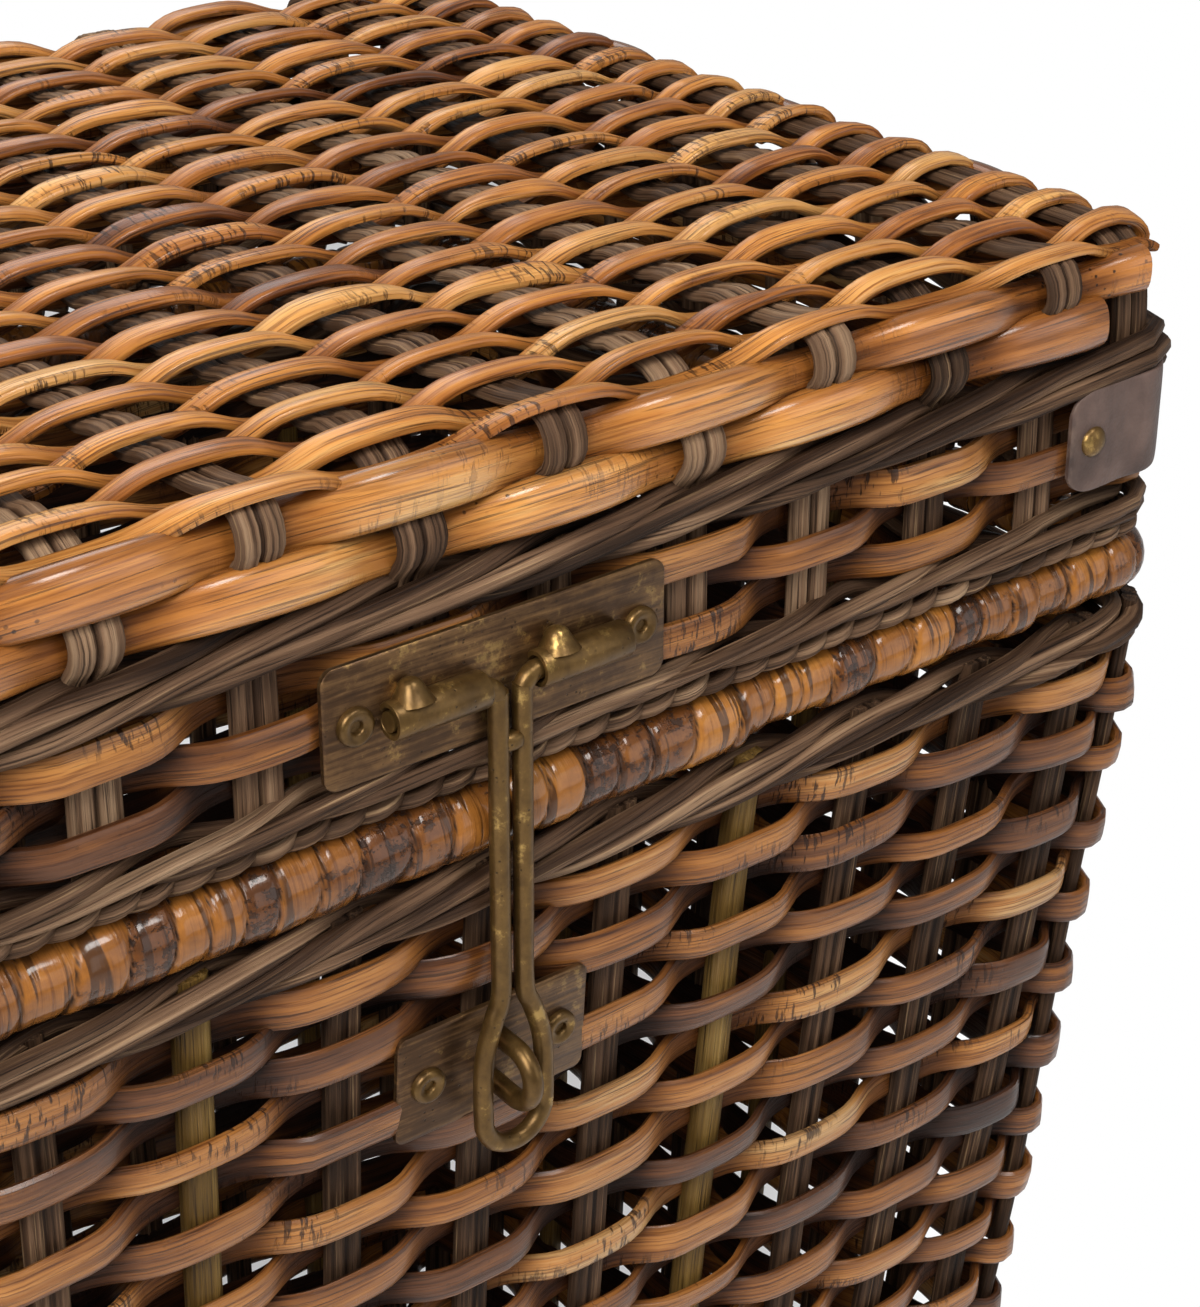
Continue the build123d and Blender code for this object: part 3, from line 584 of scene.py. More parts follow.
def lidTop():
    its = topWeave
    low, high = levels("lid_top_weave")
    middle = (low + high) / 2
    bundle = Bundle()
    profile = ovalOf(its)
    edge = plan.halfDepth - its.firstRow
    stakes = np.concatenate([[-its.edgeStake], lidFront, [its.edgeStake]])
    phase = np.linspace(0, len(stakes) - 1, (len(stakes) - 1) * its.perStake + 1)
    x = np.interp(phase, np.arange(len(stakes)), stakes)
    for row, depth in enumerate(np.linspace(-edge, edge, its.rows)):
        wave = overUnder(phase + row % 2, flatBend)
        swing = its.swing * wave * (1 + drift(len(x), *its.swingStray))
        run = np.column_stack([x, middle + swing + drift(len(x), *its.liftStray)])
        left = weaverEnd(run[0], middle, -1)[::-1]
        right = weaverEnd(run[-1], middle, 1)
        leftCurve = smoothLine(np.vstack([left, run[:1]]), its.sample)[:-1]
        rightCurve = smoothLine(np.vstack([run[-1:], right]), its.sample)[1:]
        route = np.vstack([leftCurve, run, rightCurve])
        count = len(route)
        crest = np.interp(route[:, 1], [middle - its.swing, middle + its.swing], [0, 1])
        isOutermost = row in (0, its.rows - 1)
        bend = np.sign(depth) * its.edgeBend * (2 * crest - 1) if isOutermost else 0
        y = depth + bend + drift(count, *its.rowStray)
        paintedFalloff = its.toneSlope * (depth + plan.halfDepth / 2)  # painted shade: darker towards the back
        tones = pickTone(its) + drift(count, *its.toneStray) + paintedFalloff
        roll = drift(count, *its.rollStray)
        wide = 1 + drift(count, *its.sizeStray)
        deep = 1 + drift(count, *its.sizeStray)
        bundle.strand(xyz(route[:, 0], y, route[:, 1]), (0, 1, 0), profile, tones, crest, roll, wide, deep)
    bundle.piece("lidTopWeave", finishes.top, "rattan_weaver", "lid", "lid_top_weave")


# edge and over are (inset, height) points in mm, up the lid's side and over onto its top
lidStakes = Spec(width=11.8 * mm, thick=3.6 * mm, split=0.72, topWave=0.8 * mm, sample=2.2 * mm,
                 topSample=3 * mm, topGap=2 * mm, edgeSamples=90, sideTop=584 * mm, tone=0.56,
                 toneSpread=0.12, edgeTone=0.42, crest=0.9, asideStray=(30, 0.5 * mm), rollStray=(30, 0.05),
                 widthStray=(40, 0.04),
                 edge=[(7, 560), (7, 572), (8, 581), (10.5, 588.5), (16, 592.2), (26, 593.0)],
                 overUpper=[(6.6, 516.5), (6.5, 530), (6.7, 545), (7.0, 558), (7.6, 566), (8.6, 573.5),
                            (6.2, 579.6), (1.6, 583.6), (0.5, 588), (2.6, 592.8), (8, 595.2), (16, 594.0),
                            (26, 593.2)],
                 overLower=[(6.6, 516.5), (6.5, 530), (6.7, 545), (7.0, 556), (6.6, 564), (5.0, 568.8),
                            (2.0, 572.4), (0.7, 576.4), (2.6, 580.8), (8.0, 584.6), (11.8, 588.6),
                            (16, 591.8), (26, 593.0)])
lidPosts = Spec(inset=14.5 * mm, foot=516 * mm, height=72 * mm, width=9 * mm, thick=6 * mm, samples=30,
                tone=0.4, crest=0.8, stray=(6, 0.3 * mm))


def stakeSide(stake):  # the rising stretch of a stake, as (inset, height)
    route = lidStakes["overUpper" if stake % 2 == 0 else "overLower"]
    return smoothLine(np.array(route) * mm, lidStakes.sample)


def addLongStake(bundle, profile, stake, x):  # up the front, across the top and down the back
    its = lidStakes
    side = stakeSide(stake)
    front = xyz(x, side[:, 0] - plan.halfDepth, side[:, 1])
    back = front[::-1] * (1, -1, 1)
    y = np.arange(front[-1, 1] + its.topSample, back[0, 1] - its.topGap, its.topSample)
    rowPitch = (2 * plan.halfDepth - 2 * topWeave.firstRow) / (topWeave.rows - 1)
    rows = (y + plan.halfDepth - topWeave.firstRow) / rowPitch
    rise = its.topWave * np.cos(np.pi * (rows + stake + 1))
    centre = np.vstack([front, xyz(x, y, front[-1, 2] + rise), back])
    count = len(centre)
    centre[:, 0] += drift(count, *its.asideStray)
    tone = pickTone(its)
    roll = drift(count, *its.rollStray)
    wide = 1 + drift(count, *its.widthStray)
    bundle.strand(centre, (-1, 0, 0), profile, tone, its.crest, roll, wide)


def addEndStake(bundle, profile, stake, sign, y):
    side = stakeSide(stake)
    side = side[side[:, 1] < lidStakes.sideTop]
    centre = xyz(sign * (plan.halfWidth - side[:, 0]), y, side[:, 1])
    bundle.strand(centre, (0, -sign, 0), profile, pickTone(lidStakes), lidStakes.crest)


def addEdgeStake(bundle, profile, sign):  # the outermost stake of the top, bent down behind the bands
    its = lidStakes
    x = sign * topWeave.edgeStake
    bend = smoothLine(np.array(its.edge) * mm, its.sample)
    front = xyz(x, bend[:, 0] - plan.halfDepth, bend[:, 1])
    reach = -front[-1, 1] - its.topSample
    run = xyz(x, np.linspace(-reach, reach, its.edgeSamples), front[-1, 2])
    centre = np.vstack([front, run, front[::-1] * (1, -1, 1)])
    bundle.strand(centre, (-1, 0, 0), profile, its.edgeTone, its.crest)


def addCornerPost(bundle, sign, end):
    its = lidPosts
    x = sign * (plan.halfWidth - its.inset) + drift(its.samples, *its.stray)
    y = end * (plan.halfDepth - its.inset) + drift(its.samples, *its.stray)
    centre = xyz(x, y, its.foot + np.linspace(0, its.height, its.samples))
    profile = flutedProfile(its.width, its.thick)
    bundle.strand(centre, (-sign * end, 1, 0), profile, its.tone, its.crest)


def lidStakesPiece():
    bundle = Bundle()
    profile = flutedProfile(lidStakes.width, lidStakes.thick, split=lidStakes.split)
    for number, x in enumerate(lidFront):  # the one just right of the middle goes over the upper band
        addLongStake(bundle, profile, number + 1, x)
    for sign in (1, -1):
        for number, y in enumerate(lidSide):
            addEndStake(bundle, profile, number + (0 if sign > 0 else 1), sign, y)
        addEdgeStake(bundle, profile, sign)
        for end in (-1, 1):
            addCornerPost(bundle, sign, end)
    bundle.piece("lidStakes", finishes.core, "rattan_core", "lid", "lid_stakes", "lid_end_stakes")


# the thick bands run straight along each side and end in plain cuts near the corners
edgeBands = Spec(height=12.2 * mm, depth=8.0 * mm, sides=20, square=0.80, swing=2.8 * mm, rise=1.3 * mm,
                 swell=0.09, perStake=12, upperTone=0.57, lowerTone=0.50, toneSlope=-0.9,
                 frontInset=4.6 * mm, frontUpper=196.5 * mm, frontLower=182 * mm, sideInset=9.2 * mm,
                 sideUpper=139 * mm, sideLower=137 * mm, outStray=(20, 0.3 * mm), liftStray=(26, 0.35 * mm),
                 toneStray=(26, 0.17), widthStray=(30, 0.06), rollStray=(20, 0.08))


def addBand(bundle, profile, quarter, node, reach, pitch, end, over, tone):
    its = edgeBands
    angle = (quarter - 1) * math.pi / 2
    normal = np.array([math.cos(angle), math.sin(angle)])
    heading = np.array([-normal[1], normal[0]])
    low, high = levels(node)
    count = int(2 * end / pitch * its.perStake)
    along = np.linspace(-end, end, count)
    wave = overUnder(along / pitch - 0.5 + over + quarter // 2)
    outward = reach + its.swing * wave + drift(count, *its.outStray)
    place = np.outer(along, heading) + np.outer(outward, normal)
    height = (low + high) / 2 + its.rise * wave + drift(count, *its.liftStray)
    # painted light: the bands lighter towards the left
    tones = tone + drift(count, *its.toneStray) + its.toneSlope * place[:, 0]
    wide = 1 + its.swell * wave + drift(count, *its.widthStray)
    roll = drift(count, *its.rollStray)
    bundle.strand(np.column_stack([place, height]), (0, 0, 1), profile, tones, 0.6 + 0.4 * wave, roll, wide)


def bandsPiece():
    its = edgeBands
    upper, lower = "edge_band_upper", "edge_band_lower"
    bundle = Bundle()
    profile = ovalProfile(its.height, its.depth, its.sides, its.square)
    front = (plan.halfDepth - its.frontInset, lidPlan.frontPitch, its.frontUpper, its.frontLower)
    side = (plan.halfWidth - its.sideInset, lidPlan.sidePitch, its.sideUpper, its.sideLower)
    for quarter in range(4):
        reach, pitch, upperEnd, lowerEnd = (front, side)[quarter % 2]
        addBand(bundle, profile, quarter, upper, reach, pitch, upperEnd, 1, its.upperTone)
        addBand(bundle, profile, quarter, lower, reach, pitch, lowerEnd, 0, its.lowerTone)
    bundle.piece("edgeBands", finishes.band, "rattan_band", "lid", upper, lower)


sideWeave = Spec(rows=3, perStake=12, inset=6.2 * mm, corner=8 * mm, width=8.6 * mm, thick=2.7 * mm,
                 sides=12, square=0.6, swing=3.7 * mm, most=3.4 * mm, tight=1.3, tone=0.66, toneSpread=0.10,
                 toneSlope=1.3, levelStray=(2, 0.5 * mm))


def lidSideWeave():
    its = sideWeave
    bundle = Bundle()
    low, high = levels("lid_side_weave")
    ring = Ring(its.inset, its.corner)
    stations = ring.stations(lidFront, lidSide)
    profile = ovalOf(its)
    for row in range(its.rows):
        level = high - (row + 0.5) * (high - low) / its.rows
        addRow(bundle, ring, stations, level, 1 - row % 2, its, profile)
    bundle.piece("lidSideWeave", finishes.wall, "rattan_weaver", "lid", "lid_side_weave")


# twisted rows: each rod climbs in front of its stakes and drops back behind the last
wales = Spec(swing=3.9 * mm, perStake=10, front=0.76, hold=1.7, forward=0.42, flat=0.9, sides=10, square=0.9,
             tone=0.45, toneSpread=0.11, inset=5.6 * mm, upperCorner=8 * mm, lowerCorner=13 * mm,
             rimCorner=11 * mm, rimWider=1.5 * mm, thickRods=(4, 5.2 * mm), thinRods=(3, 4.4 * mm),
             liftStray=(16, 0.5 * mm), outStray=(14, 0.4 * mm), toneStray=(22, 0.12), rollStray=(12, 0.6),
             widthStray=(30, 0.06))


def wale(node, name, body, ring, stations, rods, rod):
    its = wales
    bundle = Bundle()
    low, high = levels(node)
    phase, distance = ring.walk(stations, its.perStake)
    place, normal = ring.at(distance)
    count = len(distance)
    climb = (high - low - rod) / 2
    profile = ovalProfile(rod, rod * its.flat, its.sides, its.square)
    front = its.front
    for stroke in range(rods):
        turn = np.mod((phase + stroke) / rods, 1)
        rising = -np.cos(np.pi * turn / front)
        falling = np.cos(np.pi * (turn - front) / (1 - front))
        height = np.where(turn < front, rising, falling)
        reach = np.tanh(its.hold * (np.cos(2 * np.pi * (turn - front / 2)) + its.forward))
        z = (low + high) / 2 + climb * height + drift(count, *its.liftStray, closed=True)
        outward = its.swing * reach + drift(count, *its.outStray, closed=True)
        tones = pickTone(its) + drift(count, *its.toneStray, closed=True)
        roll = drift(count, *its.rollStray, closed=True)
        wide = 1 + drift(count, *its.widthStray, closed=True)
        centre = outFrom(place, normal, outward, z)
        bundle.strand(centre, (0, 0, 1), profile, tones, 0.5 + 0.5 * reach, roll, wide, capped=False)
    bundle.piece(name, finishes.wale, "rattan_core", body, node)


stitchBorder = Spec(pitch=9.2 * mm, reach=6.6 * mm, width=4.0 * mm, thick=3.6 * mm, sides=9, samples=9,
                    square=0.9, inset=5.4 * mm, bulge=2.0 * mm, level=2.4 * mm, slant=1.5 * mm,
                    spacing=0.12, levelSpread=0.15 * mm, tone=0.5, toneSpread=0.15, tuckedCrest=0.35)


def lidBorder():
    its = stitchBorder
    bundle = Bundle()
    low = levels("lid_border")[0]
    ring = Ring(its.inset)
    count = int(ring.length / its.pitch)
    profile = ovalOf(its)
    share = np.linspace(-1, 1, its.samples)
    crest = its.tuckedCrest + (1 - its.tuckedCrest) * (1 - share ** 2)
    for stitch in range(count):
        middle = (stitch + chance.uniform(-its.spacing, its.spacing)) * ring.length / count
        place, normal = ring.at(middle + share * its.reach)
        outward = its.bulge * (1 - 2 * share ** 2)
        z = low + its.level + its.slant * share + chance.normal(0, its.levelSpread)
        bundle.strand(outFrom(place, normal, outward, z), (0, 0, 1), profile, pickTone(its), crest)
    bundle.piece("lidBorder", finishes.wale, "rattan_core", "lid", "lid_border")


# the bound rim: a thick run ends over a thinner one on the right of the front
rimRoll = Spec(inset=9.1 * mm, corner=10.2 * mm, wider=3.5 * mm, thick=9.7 * mm, thin=8.5 * mm,
               stepAt=70 * mm, stepLong=5 * mm, topClear=0.3 * mm, sunk=0.5 * mm, wrapLeast=7.5 * mm,
               wrapMost=14.5 * mm, crown=1.1 * mm, crownFlat=8, rideSpread=0.28 * mm, toneLeast=0.2,
               toneMost=0.9, lump=(9, 0.22 * mm), sides=26, sample=0.7 * mm)


def rimRollPiece():
    its = rimRoll
    top = levels("lid_border")[0] - its.topClear
    ring = Ring(its.inset, its.corner, its.wider)
    count = int(ring.length / its.sample)
    start = ring.length / 2
    distance = start + np.linspace(0, ring.length, count + 1)
    widths = chance.uniform(its.wrapLeast, its.wrapMost, int(ring.length / its.wrapLeast))
    seams = np.concatenate([[0], np.cumsum(widths)])
    wraps = np.interp(distance - start, seams, np.arange(len(seams)))
    turn = np.arange(its.sides) / its.sides
    winding = wraps[:, None] - turn[None]
    share = np.mod(winding, 1)
    number = np.floor(winding).astype(int) + 1
    crown = 1 - np.abs(2 * share - 1) ** its.crownFlat
    ride = chance.normal(0, its.rideSpread, len(seams) + 2)[number]
    tone = chance.uniform(its.toneLeast, its.toneMost, len(seams) + 2)[number]
    fromMiddle = np.mod(distance + start, ring.length) - start  # along the front, right is positive
    thinShare = smoothStep(fromMiddle, its.stepAt, its.stepAt + its.stepLong)
    radius = its.thick + (its.thin - its.thick) * thinShare
    place, normal = ring.at(distance)
    middle = np.column_stack([place, top - radius])
    lump = drift(len(distance), *its.lump)[:, None]
    reach = radius[:, None] - its.crown * (1 - crown) - its.sunk + ride + lump
    angle = (turn * 2 * np.pi + np.pi / 2)[None, :, None]
    outward = xyz(normal[:, 0], normal[:, 1], 0.0)[:, None]
    spokes = np.cos(angle) * outward + np.sin(angle) * np.array([0, 0, 1])
    points = middle[:, None] + reach[..., None] * spokes
    around = (turn * 2 * np.pi)[None, ::-1] * radius[:, None]
    coords = np.stack([np.broadcast_to(distance[:, None], reach.shape), around, reach[:, ::-1]], -1)
    bundle = Bundle()
    # each ring is turned round so that the faces look out
    bundle.grid(points[:, ::-1], coords, tone[:, ::-1], crown[:, ::-1], False)
    bundle.piece("rimRoll", finishes.peel, "rattan_peel", "basket", "rim_binding", "rim_core", sharp=180)


# the basket's wall leans in towards the floor, its rows closer together under the rim
wallWeave = Spec(firstRow=5.0 * mm, pitch=11.5 * mm, tightBy=3.4 * mm, tightRows=1.3, perStake=10,
                 width=9.2 * mm, thick=2.7 * mm, sides=11, square=0.62, inset=6.4 * mm, swing=3.8 * mm,
                 most=3.9 * mm, corner=6 * mm, wider=4 * mm, tight=1.38, tone=0.54, toneSpread=0.16,
                 toneSlope=-0.7, levelStray=(2, 0.7 * mm), parts=4)
wallPlan = Spec(frontCount=11, sideCount=7, pitch=38.0 * mm)


def wallRing(level):
    its = wallWeave
    fall = (levels("wall_weave")[1] - level) * math.tan(plan.lean)
    return Ring(its.inset + fall, its.corner, its.wider)


def wallStations(ring):
    full = wallRing(levels("wall_weave")[1])
    front = centredSpots(wallPlan.frontCount, wallPlan.pitch) * ring.runX / full.runX
    side = centredSpots(wallPlan.sideCount, wallPlan.pitch) * ring.runY / full.runY
    return ring.stations(front, side, True)


def wallRows():
    its = wallWeave
    low, high = levels("wall_weave")
    rows, level = [], high - its.firstRow
    while level > low + its.width / 2:
        closer = its.tightBy * math.exp(-len(rows) / its.tightRows)
        rows.append(level)
        level -= its.pitch - closer
    profile = ovalOf(its)
    share = math.ceil(len(rows) / its.parts)
    for part in range(its.parts):
        bundle = Bundle()
        for number in range(part * share, min(len(rows), (part + 1) * share)):
            ring = wallRing(rows[number])
            stations = wallStations(ring)
            addRow(bundle, ring, stations, rows[number], 1 - number % 2, its, profile, plan.lean)
        bundle.piece(f"wallWeave{part + 1}", finishes.wall, "rattan_weaver", "basket", "wall_weave")


# some of the stakes are smooth and olive, the others dark and fluted
wallStakes = Spec(width=9.4 * mm, thick=4.6 * mm, below=4 * mm, above=12 * mm, samples=60,
                  stray=(6, 0.4 * mm), tone=0.25, toneSpread=0.10, crest=0.85, oliveOdds=0.28,
                  darkNearHasp=6, oliveTone=0.42, oliveWide=0.9, oliveThick=1.25)


def wallStakesPiece():
    its = wallStakes
    low, high = levels("wall_weave")
    upper, lower = wallRing(high), wallRing(low)
    upperPlace, normals = upper.at(wallStations(upper))
    lowerPlace = lower.at(wallStations(lower))[0]
    count = len(upperPlace)
    dark, olive = Bundle(), Bundle()
    fluted = flutedProfile(its.width, its.thick, sides=26, flutes=5, groove=0.12, split=0.25)
    smooth = flutedProfile(its.width * its.oliveWide, its.thick * its.oliveThick, sides=22, flutes=3,
                           groove=0.04, split=0.0)
    share = np.linspace(0, 1, its.samples)[:, None]
    besideHasp = {2, count - 2}  # these two are olive
    farFromHasp = range(its.darkNearHasp + 1, count - its.darkNearHasp)
    for number, normal in enumerate(normals):
        foot = np.append(lowerPlace[number], low - its.below)
        head = np.append(upperPlace[number], high + its.above)
        centre = foot + (head - foot) * share
        centre[:, :2] += normal * drift(its.samples, *its.stray)[:, None]
        isOlive = number in besideHasp or (number in farFromHasp and chance.random() < its.oliveOdds)
        bundle, profile = (olive, smooth) if isOlive else (dark, fluted)
        tone = chance.normal(its["oliveTone" if isOlive else "tone"], its.toneSpread)
        bundle.strand(centre, (normal[1], -normal[0], 0), profile, tone, its.crest)
    dark.piece("wallStakesDark", finishes.core, "rattan_core", "basket", "wall_stakes", "corner_posts")
    olive.piece("wallStakesOlive", finishes.olive, "rattan_core", "basket", "wall_stakes", "corner_posts")


footRope = Spec(strands=3, lay=62 * mm, strand=8.4 * mm, sides=12, square=0.95, width=15 * mm,
                corner=9 * mm, climb=4.7 * mm, bulge=3.2 * mm, sample=3 * mm, tone=0.5, toneSpread=0.1,
                outStray=(14, 0.2 * mm), toneStray=(30, 0.1))


def footBorder():
    its = footRope
    low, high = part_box("foot_border")
    ring = Ring(plan.halfWidth - high.x + its.width / 2, its.corner, wallWeave.wider)
    count = int(ring.length / its.sample) + 1
    place, normal = ring.at(np.linspace(0, ring.length, count) + ring.length / 2)
    turns = round(ring.length / its.lay)
    bundle = Bundle()
    profile = ovalProfile(its.strand, its.strand, its.sides, its.square)
    for strand in range(its.strands):
        angle = 2 * np.pi * (np.linspace(0, turns, count) + strand / its.strands)
        outward = its.bulge * np.cos(angle) + drift(count, *its.outStray, closed=True)
        z = (low.z + high.z) / 2 + its.climb * np.sin(angle)
        tones = pickTone(its) + drift(count, *its.toneStray, closed=True)
        centre = outFrom(place, normal, outward, z)
        bundle.strand(centre, (0, 0, 1), profile, tones, 0.6 + 0.4 * np.cos(angle), capped=False)
    bundle.piece("footBorder", finishes.wale, "rattan_core", "basket", "foot_border")


baseMat = Spec(level=12.4 * mm, edge=6 * mm, endGap=2 * mm, rowPitch=9.4 * mm, width=8.4 * mm,
               thick=3.0 * mm, sides=10, square=0.65, swing=3.0 * mm, perStick=10, tone=0.45,
               toneSpread=0.15, rowStray=(14, 0.5 * mm), toneStray=(20, 0.08))
baseSticks = Spec(count=9, pitch=32 * mm, width=7 * mm, thick=4.4 * mm, sides=22, flutes=4, samples=40,
                  tone=0.42, toneSpread=0.12, crest=0.9)


def baseWeave():
    its, sticks = baseMat, baseSticks
    low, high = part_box("base_weave")
    rowsBundle, sticksBundle = Bundle(), Bundle()
    rows = int((high.y - low.y - 2 * its.edge) / its.rowPitch)
    x = np.linspace(low.x + its.endGap, high.x - its.endGap, its.perStick * (sticks.count + 2))
    profile = ovalOf(its)
    for row, y in enumerate(centredSpots(rows, its.rowPitch)):
        wave = overUnder(x / sticks.pitch + row % 2)
        centre = xyz(x, y + drift(len(x), *its.rowStray), its.level + its.swing * wave)
        tones = pickTone(its) + drift(len(x), *its.toneStray)
        rowsBundle.strand(centre, (0, 1, 0), profile, tones, 0.5 + 0.5 * wave)
    profile = flutedProfile(sticks.width, sticks.thick, sticks.sides, sticks.flutes)
    y = np.linspace(low.y + its.endGap, high.y - its.endGap, sticks.samples)
    for x in centredSpots(sticks.count, sticks.pitch):
        sticksBundle.strand(xyz(x, y, its.level), (-1, 0, 0), profile, pickTone(sticks), sticks.crest)
    rowsBundle.piece("baseWeave", finishes.wall, "rattan_weaver", "basket", "base_weave")
    sticksBundle.piece("baseSticks", finishes.core, "rattan_core", "basket", "base_sticks")


lidTop()
lidStakesPiece()
bandsPiece()
lidSideWeave()
for node, name, corner, rods in (("lid_upper_wale", "lidUpperWale", wales.upperCorner, wales.thickRods),
                                 ("lid_lower_wale", "lidLowerWale", wales.lowerCorner, wales.thinRods)):
    waleRing = Ring(wales.inset, corner)
    wale(node, name, "lid", waleRing, waleRing.stations(lidFront, lidSide), *rods)
lidBorder()
rimRollPiece()
rimRing = Ring(wallWeave.inset, wales.rimCorner, wales.rimWider)
wale("rim_wale", "rimWale", "basket", rimRing, wallStations(rimRing), *wales.thickRods)
wallRows()
wallStakesPiece()
footBorder()
baseWeave()
print("hamper: weaving done")

# screw heads with a dimple and plain domes, as (radius, height) shares of the head
headOutline = [(1.0, 0.0), (1.0, 0.45), (0.94, 0.78), (0.84, 0.95), (0.74, 1.0), (0.62, 0.94), (0.46, 0.78),
               (0.38, 0.70), (0.34, 0.55), (0.30, 0.15), (0.05, 0.10)]
domeOutline = [(1.0, 0.0), (0.99, 0.25), (0.90, 0.55), (0.72, 0.80), (0.45, 0.95), (0.15, 1.0)]
frontOut = np.array([0.0, -1.0, 0.0])
rightwards = np.array([1.0, 0.0, 0.0])


def addHead(bundle, place, axis, radius, height, outline=headOutline):
    profile = [(wide * radius, high * height) for wide, high in outline]
    bundle.lathe(place, axis, profile, sides=28, tone=chance.random())


def addPlate(bundle, middle, out, its, bevel=0.45 * mm):  # grows out of the middle of its back
    turn = fullTurn(32)
    nudge = 0.01  # keeps the points on the axes in their own quarter
    quarter = np.column_stack([np.sign(np.cos(turn + nudge)), np.sign(np.sin(turn + nudge))])
    size = np.array([its.width, its.height])
    rounding = its.corner * np.column_stack([np.cos(turn), np.sin(turn)])
    outline = quarter * (size / 2 - its.corner) + rounding
    thick = its.thick
    steps = np.array([0, bevel, thick - bevel, thick - bevel * 0.3, thick])
    pull = np.array([0, 0, 0, bevel * 0.55, bevel * 1.2])
    centre = np.array(middle) + np.outer(steps, out)
    shrinkWide, shrinkHigh = 1 - 2 * pull / size[0], 1 - 2 * pull / size[1]
    bundle.strand(centre, rightwards, outline * (1, -1), 0.5, 1.0, 0.0, shrinkWide, shrinkHigh)


haspPlate = Spec(width=90 * mm, height=28 * mm, thick=1.6 * mm, back=1.3 * mm, corner=3.6 * mm,
                 screwAt=37.5 * mm)
screwHead = Spec(radius=4.4 * mm, height=1.9 * mm)
haspKnuckle = Spec(length=24 * mm, at=19 * mm, outer=4.3 * mm, inner=2.75 * mm, seamFrom=-62, seamTo=262,
                   endRound=0.3 * mm, endLong=0.5 * mm, nubAside=6 * mm, nubSunk=1.6 * mm, nubWidth=5.4 * mm,
                   nubRise=(0, 1.0 * mm, 5.4 * mm), nubAt=np.array([0, 0.2, 0.4, 0.6, 0.78, 0.9, 0.97, 1.0]),
                   nubWide=np.array([1.8, 1.55, 1.3, 1.1, 0.92, 0.7, 0.42, 0.12]))
haspWire = Spec(radius=2.3 * mm, leg=3.2 * mm, bend=4.2 * mm, straight=(30 * mm, 55 * mm), neck=76 * mm,
                flareOut=2.0 * mm, flareIn=1.0 * mm, flareDrops=(6.5 * mm, 13.5 * mm, 21 * mm),
                eye=8.5 * mm, drop=117 * mm, endPast=0.2 * mm, sample=0.9 * mm)
haspWeb = Spec(top=12.3 * mm, low=16.6 * mm, width=6.6 * mm, thick=4.5 * mm, forward=0.15 * mm, samples=8)
joints = {joint["name"]: joint for joint in frame["joints"]}
haspAxis = np.array(joints["hasp_swing"]["pos_m"])


def rolledTube(bundle, x):  # a sheet rolled round the wire, open at its seam
    its = haspKnuckle
    turn = np.radians(np.linspace(its.seamFrom, its.seamTo, 26))
    circle = np.column_stack([np.cos(turn), np.sin(turn)])
    half, inner = its.length / 2, its.length / 2 - its.endLong
    rings = []
    for at, pull in ((-half, its.endRound), (-inner, 0), (inner, 0), (half, its.endRound)):
        sheet = np.vstack([circle * (its.outer - pull), circle[::-1] * (its.inner + pull)])
        rings.append(xyz(x + at, haspAxis[1] - sheet[:, 1], haspAxis[2] + sheet[:, 0]))
    rings = np.array(rings)
    bundle.grid(rings, rings, 0.5, 1.0, True)


def addScrew(bundle, face, aside, out):
    addHead(bundle, face + rightwards * aside, out, screwHead.radius, screwHead.height)


def haspPlatePiece():
    its, knuckle = haspPlate, haspKnuckle
    plate, fittings, heads = Bundle(), Bundle(), Bundle()
    back = np.array([0, -plan.halfDepth + its.back, haspAxis[2]])
    addPlate(plate, back, frontOut, its)
    face = back + frontOut * its.thick
    nub = ovalProfile(knuckle.nubWidth, knuckle.nubWidth, 16, 0.9)
    rise = np.outer(knuckle.nubAt, np.array(knuckle.nubRise))
    for sign in (-1, 1):
        x = sign * knuckle.at
        rolledTube(fittings, x)
        root = haspAxis + (x - knuckle.nubAside, 0, knuckle.outer - knuckle.nubSunk)
        fittings.strand(root + rise, rightwards, nub, wide=knuckle.nubWide, deep=knuckle.nubWide)
        addScrew(heads, face, sign * its.screwAt, frontOut)
    plate.piece("haspPlate", finishes.plate, "antique_brass", "lid", "hasp_plate", sharp=35)
    fittings.piece("haspKnuckles", finishes.brass, "antique_brass", "lid", "hasp_plate", sharp=40)
    heads.piece("haspPlateRivets", finishes.brass, "antique_brass", "lid", "hasp_plate_screws")


def wireProfile(radius):
    return ovalProfile(2 * radius, 2 * radius, 18, 1.0)


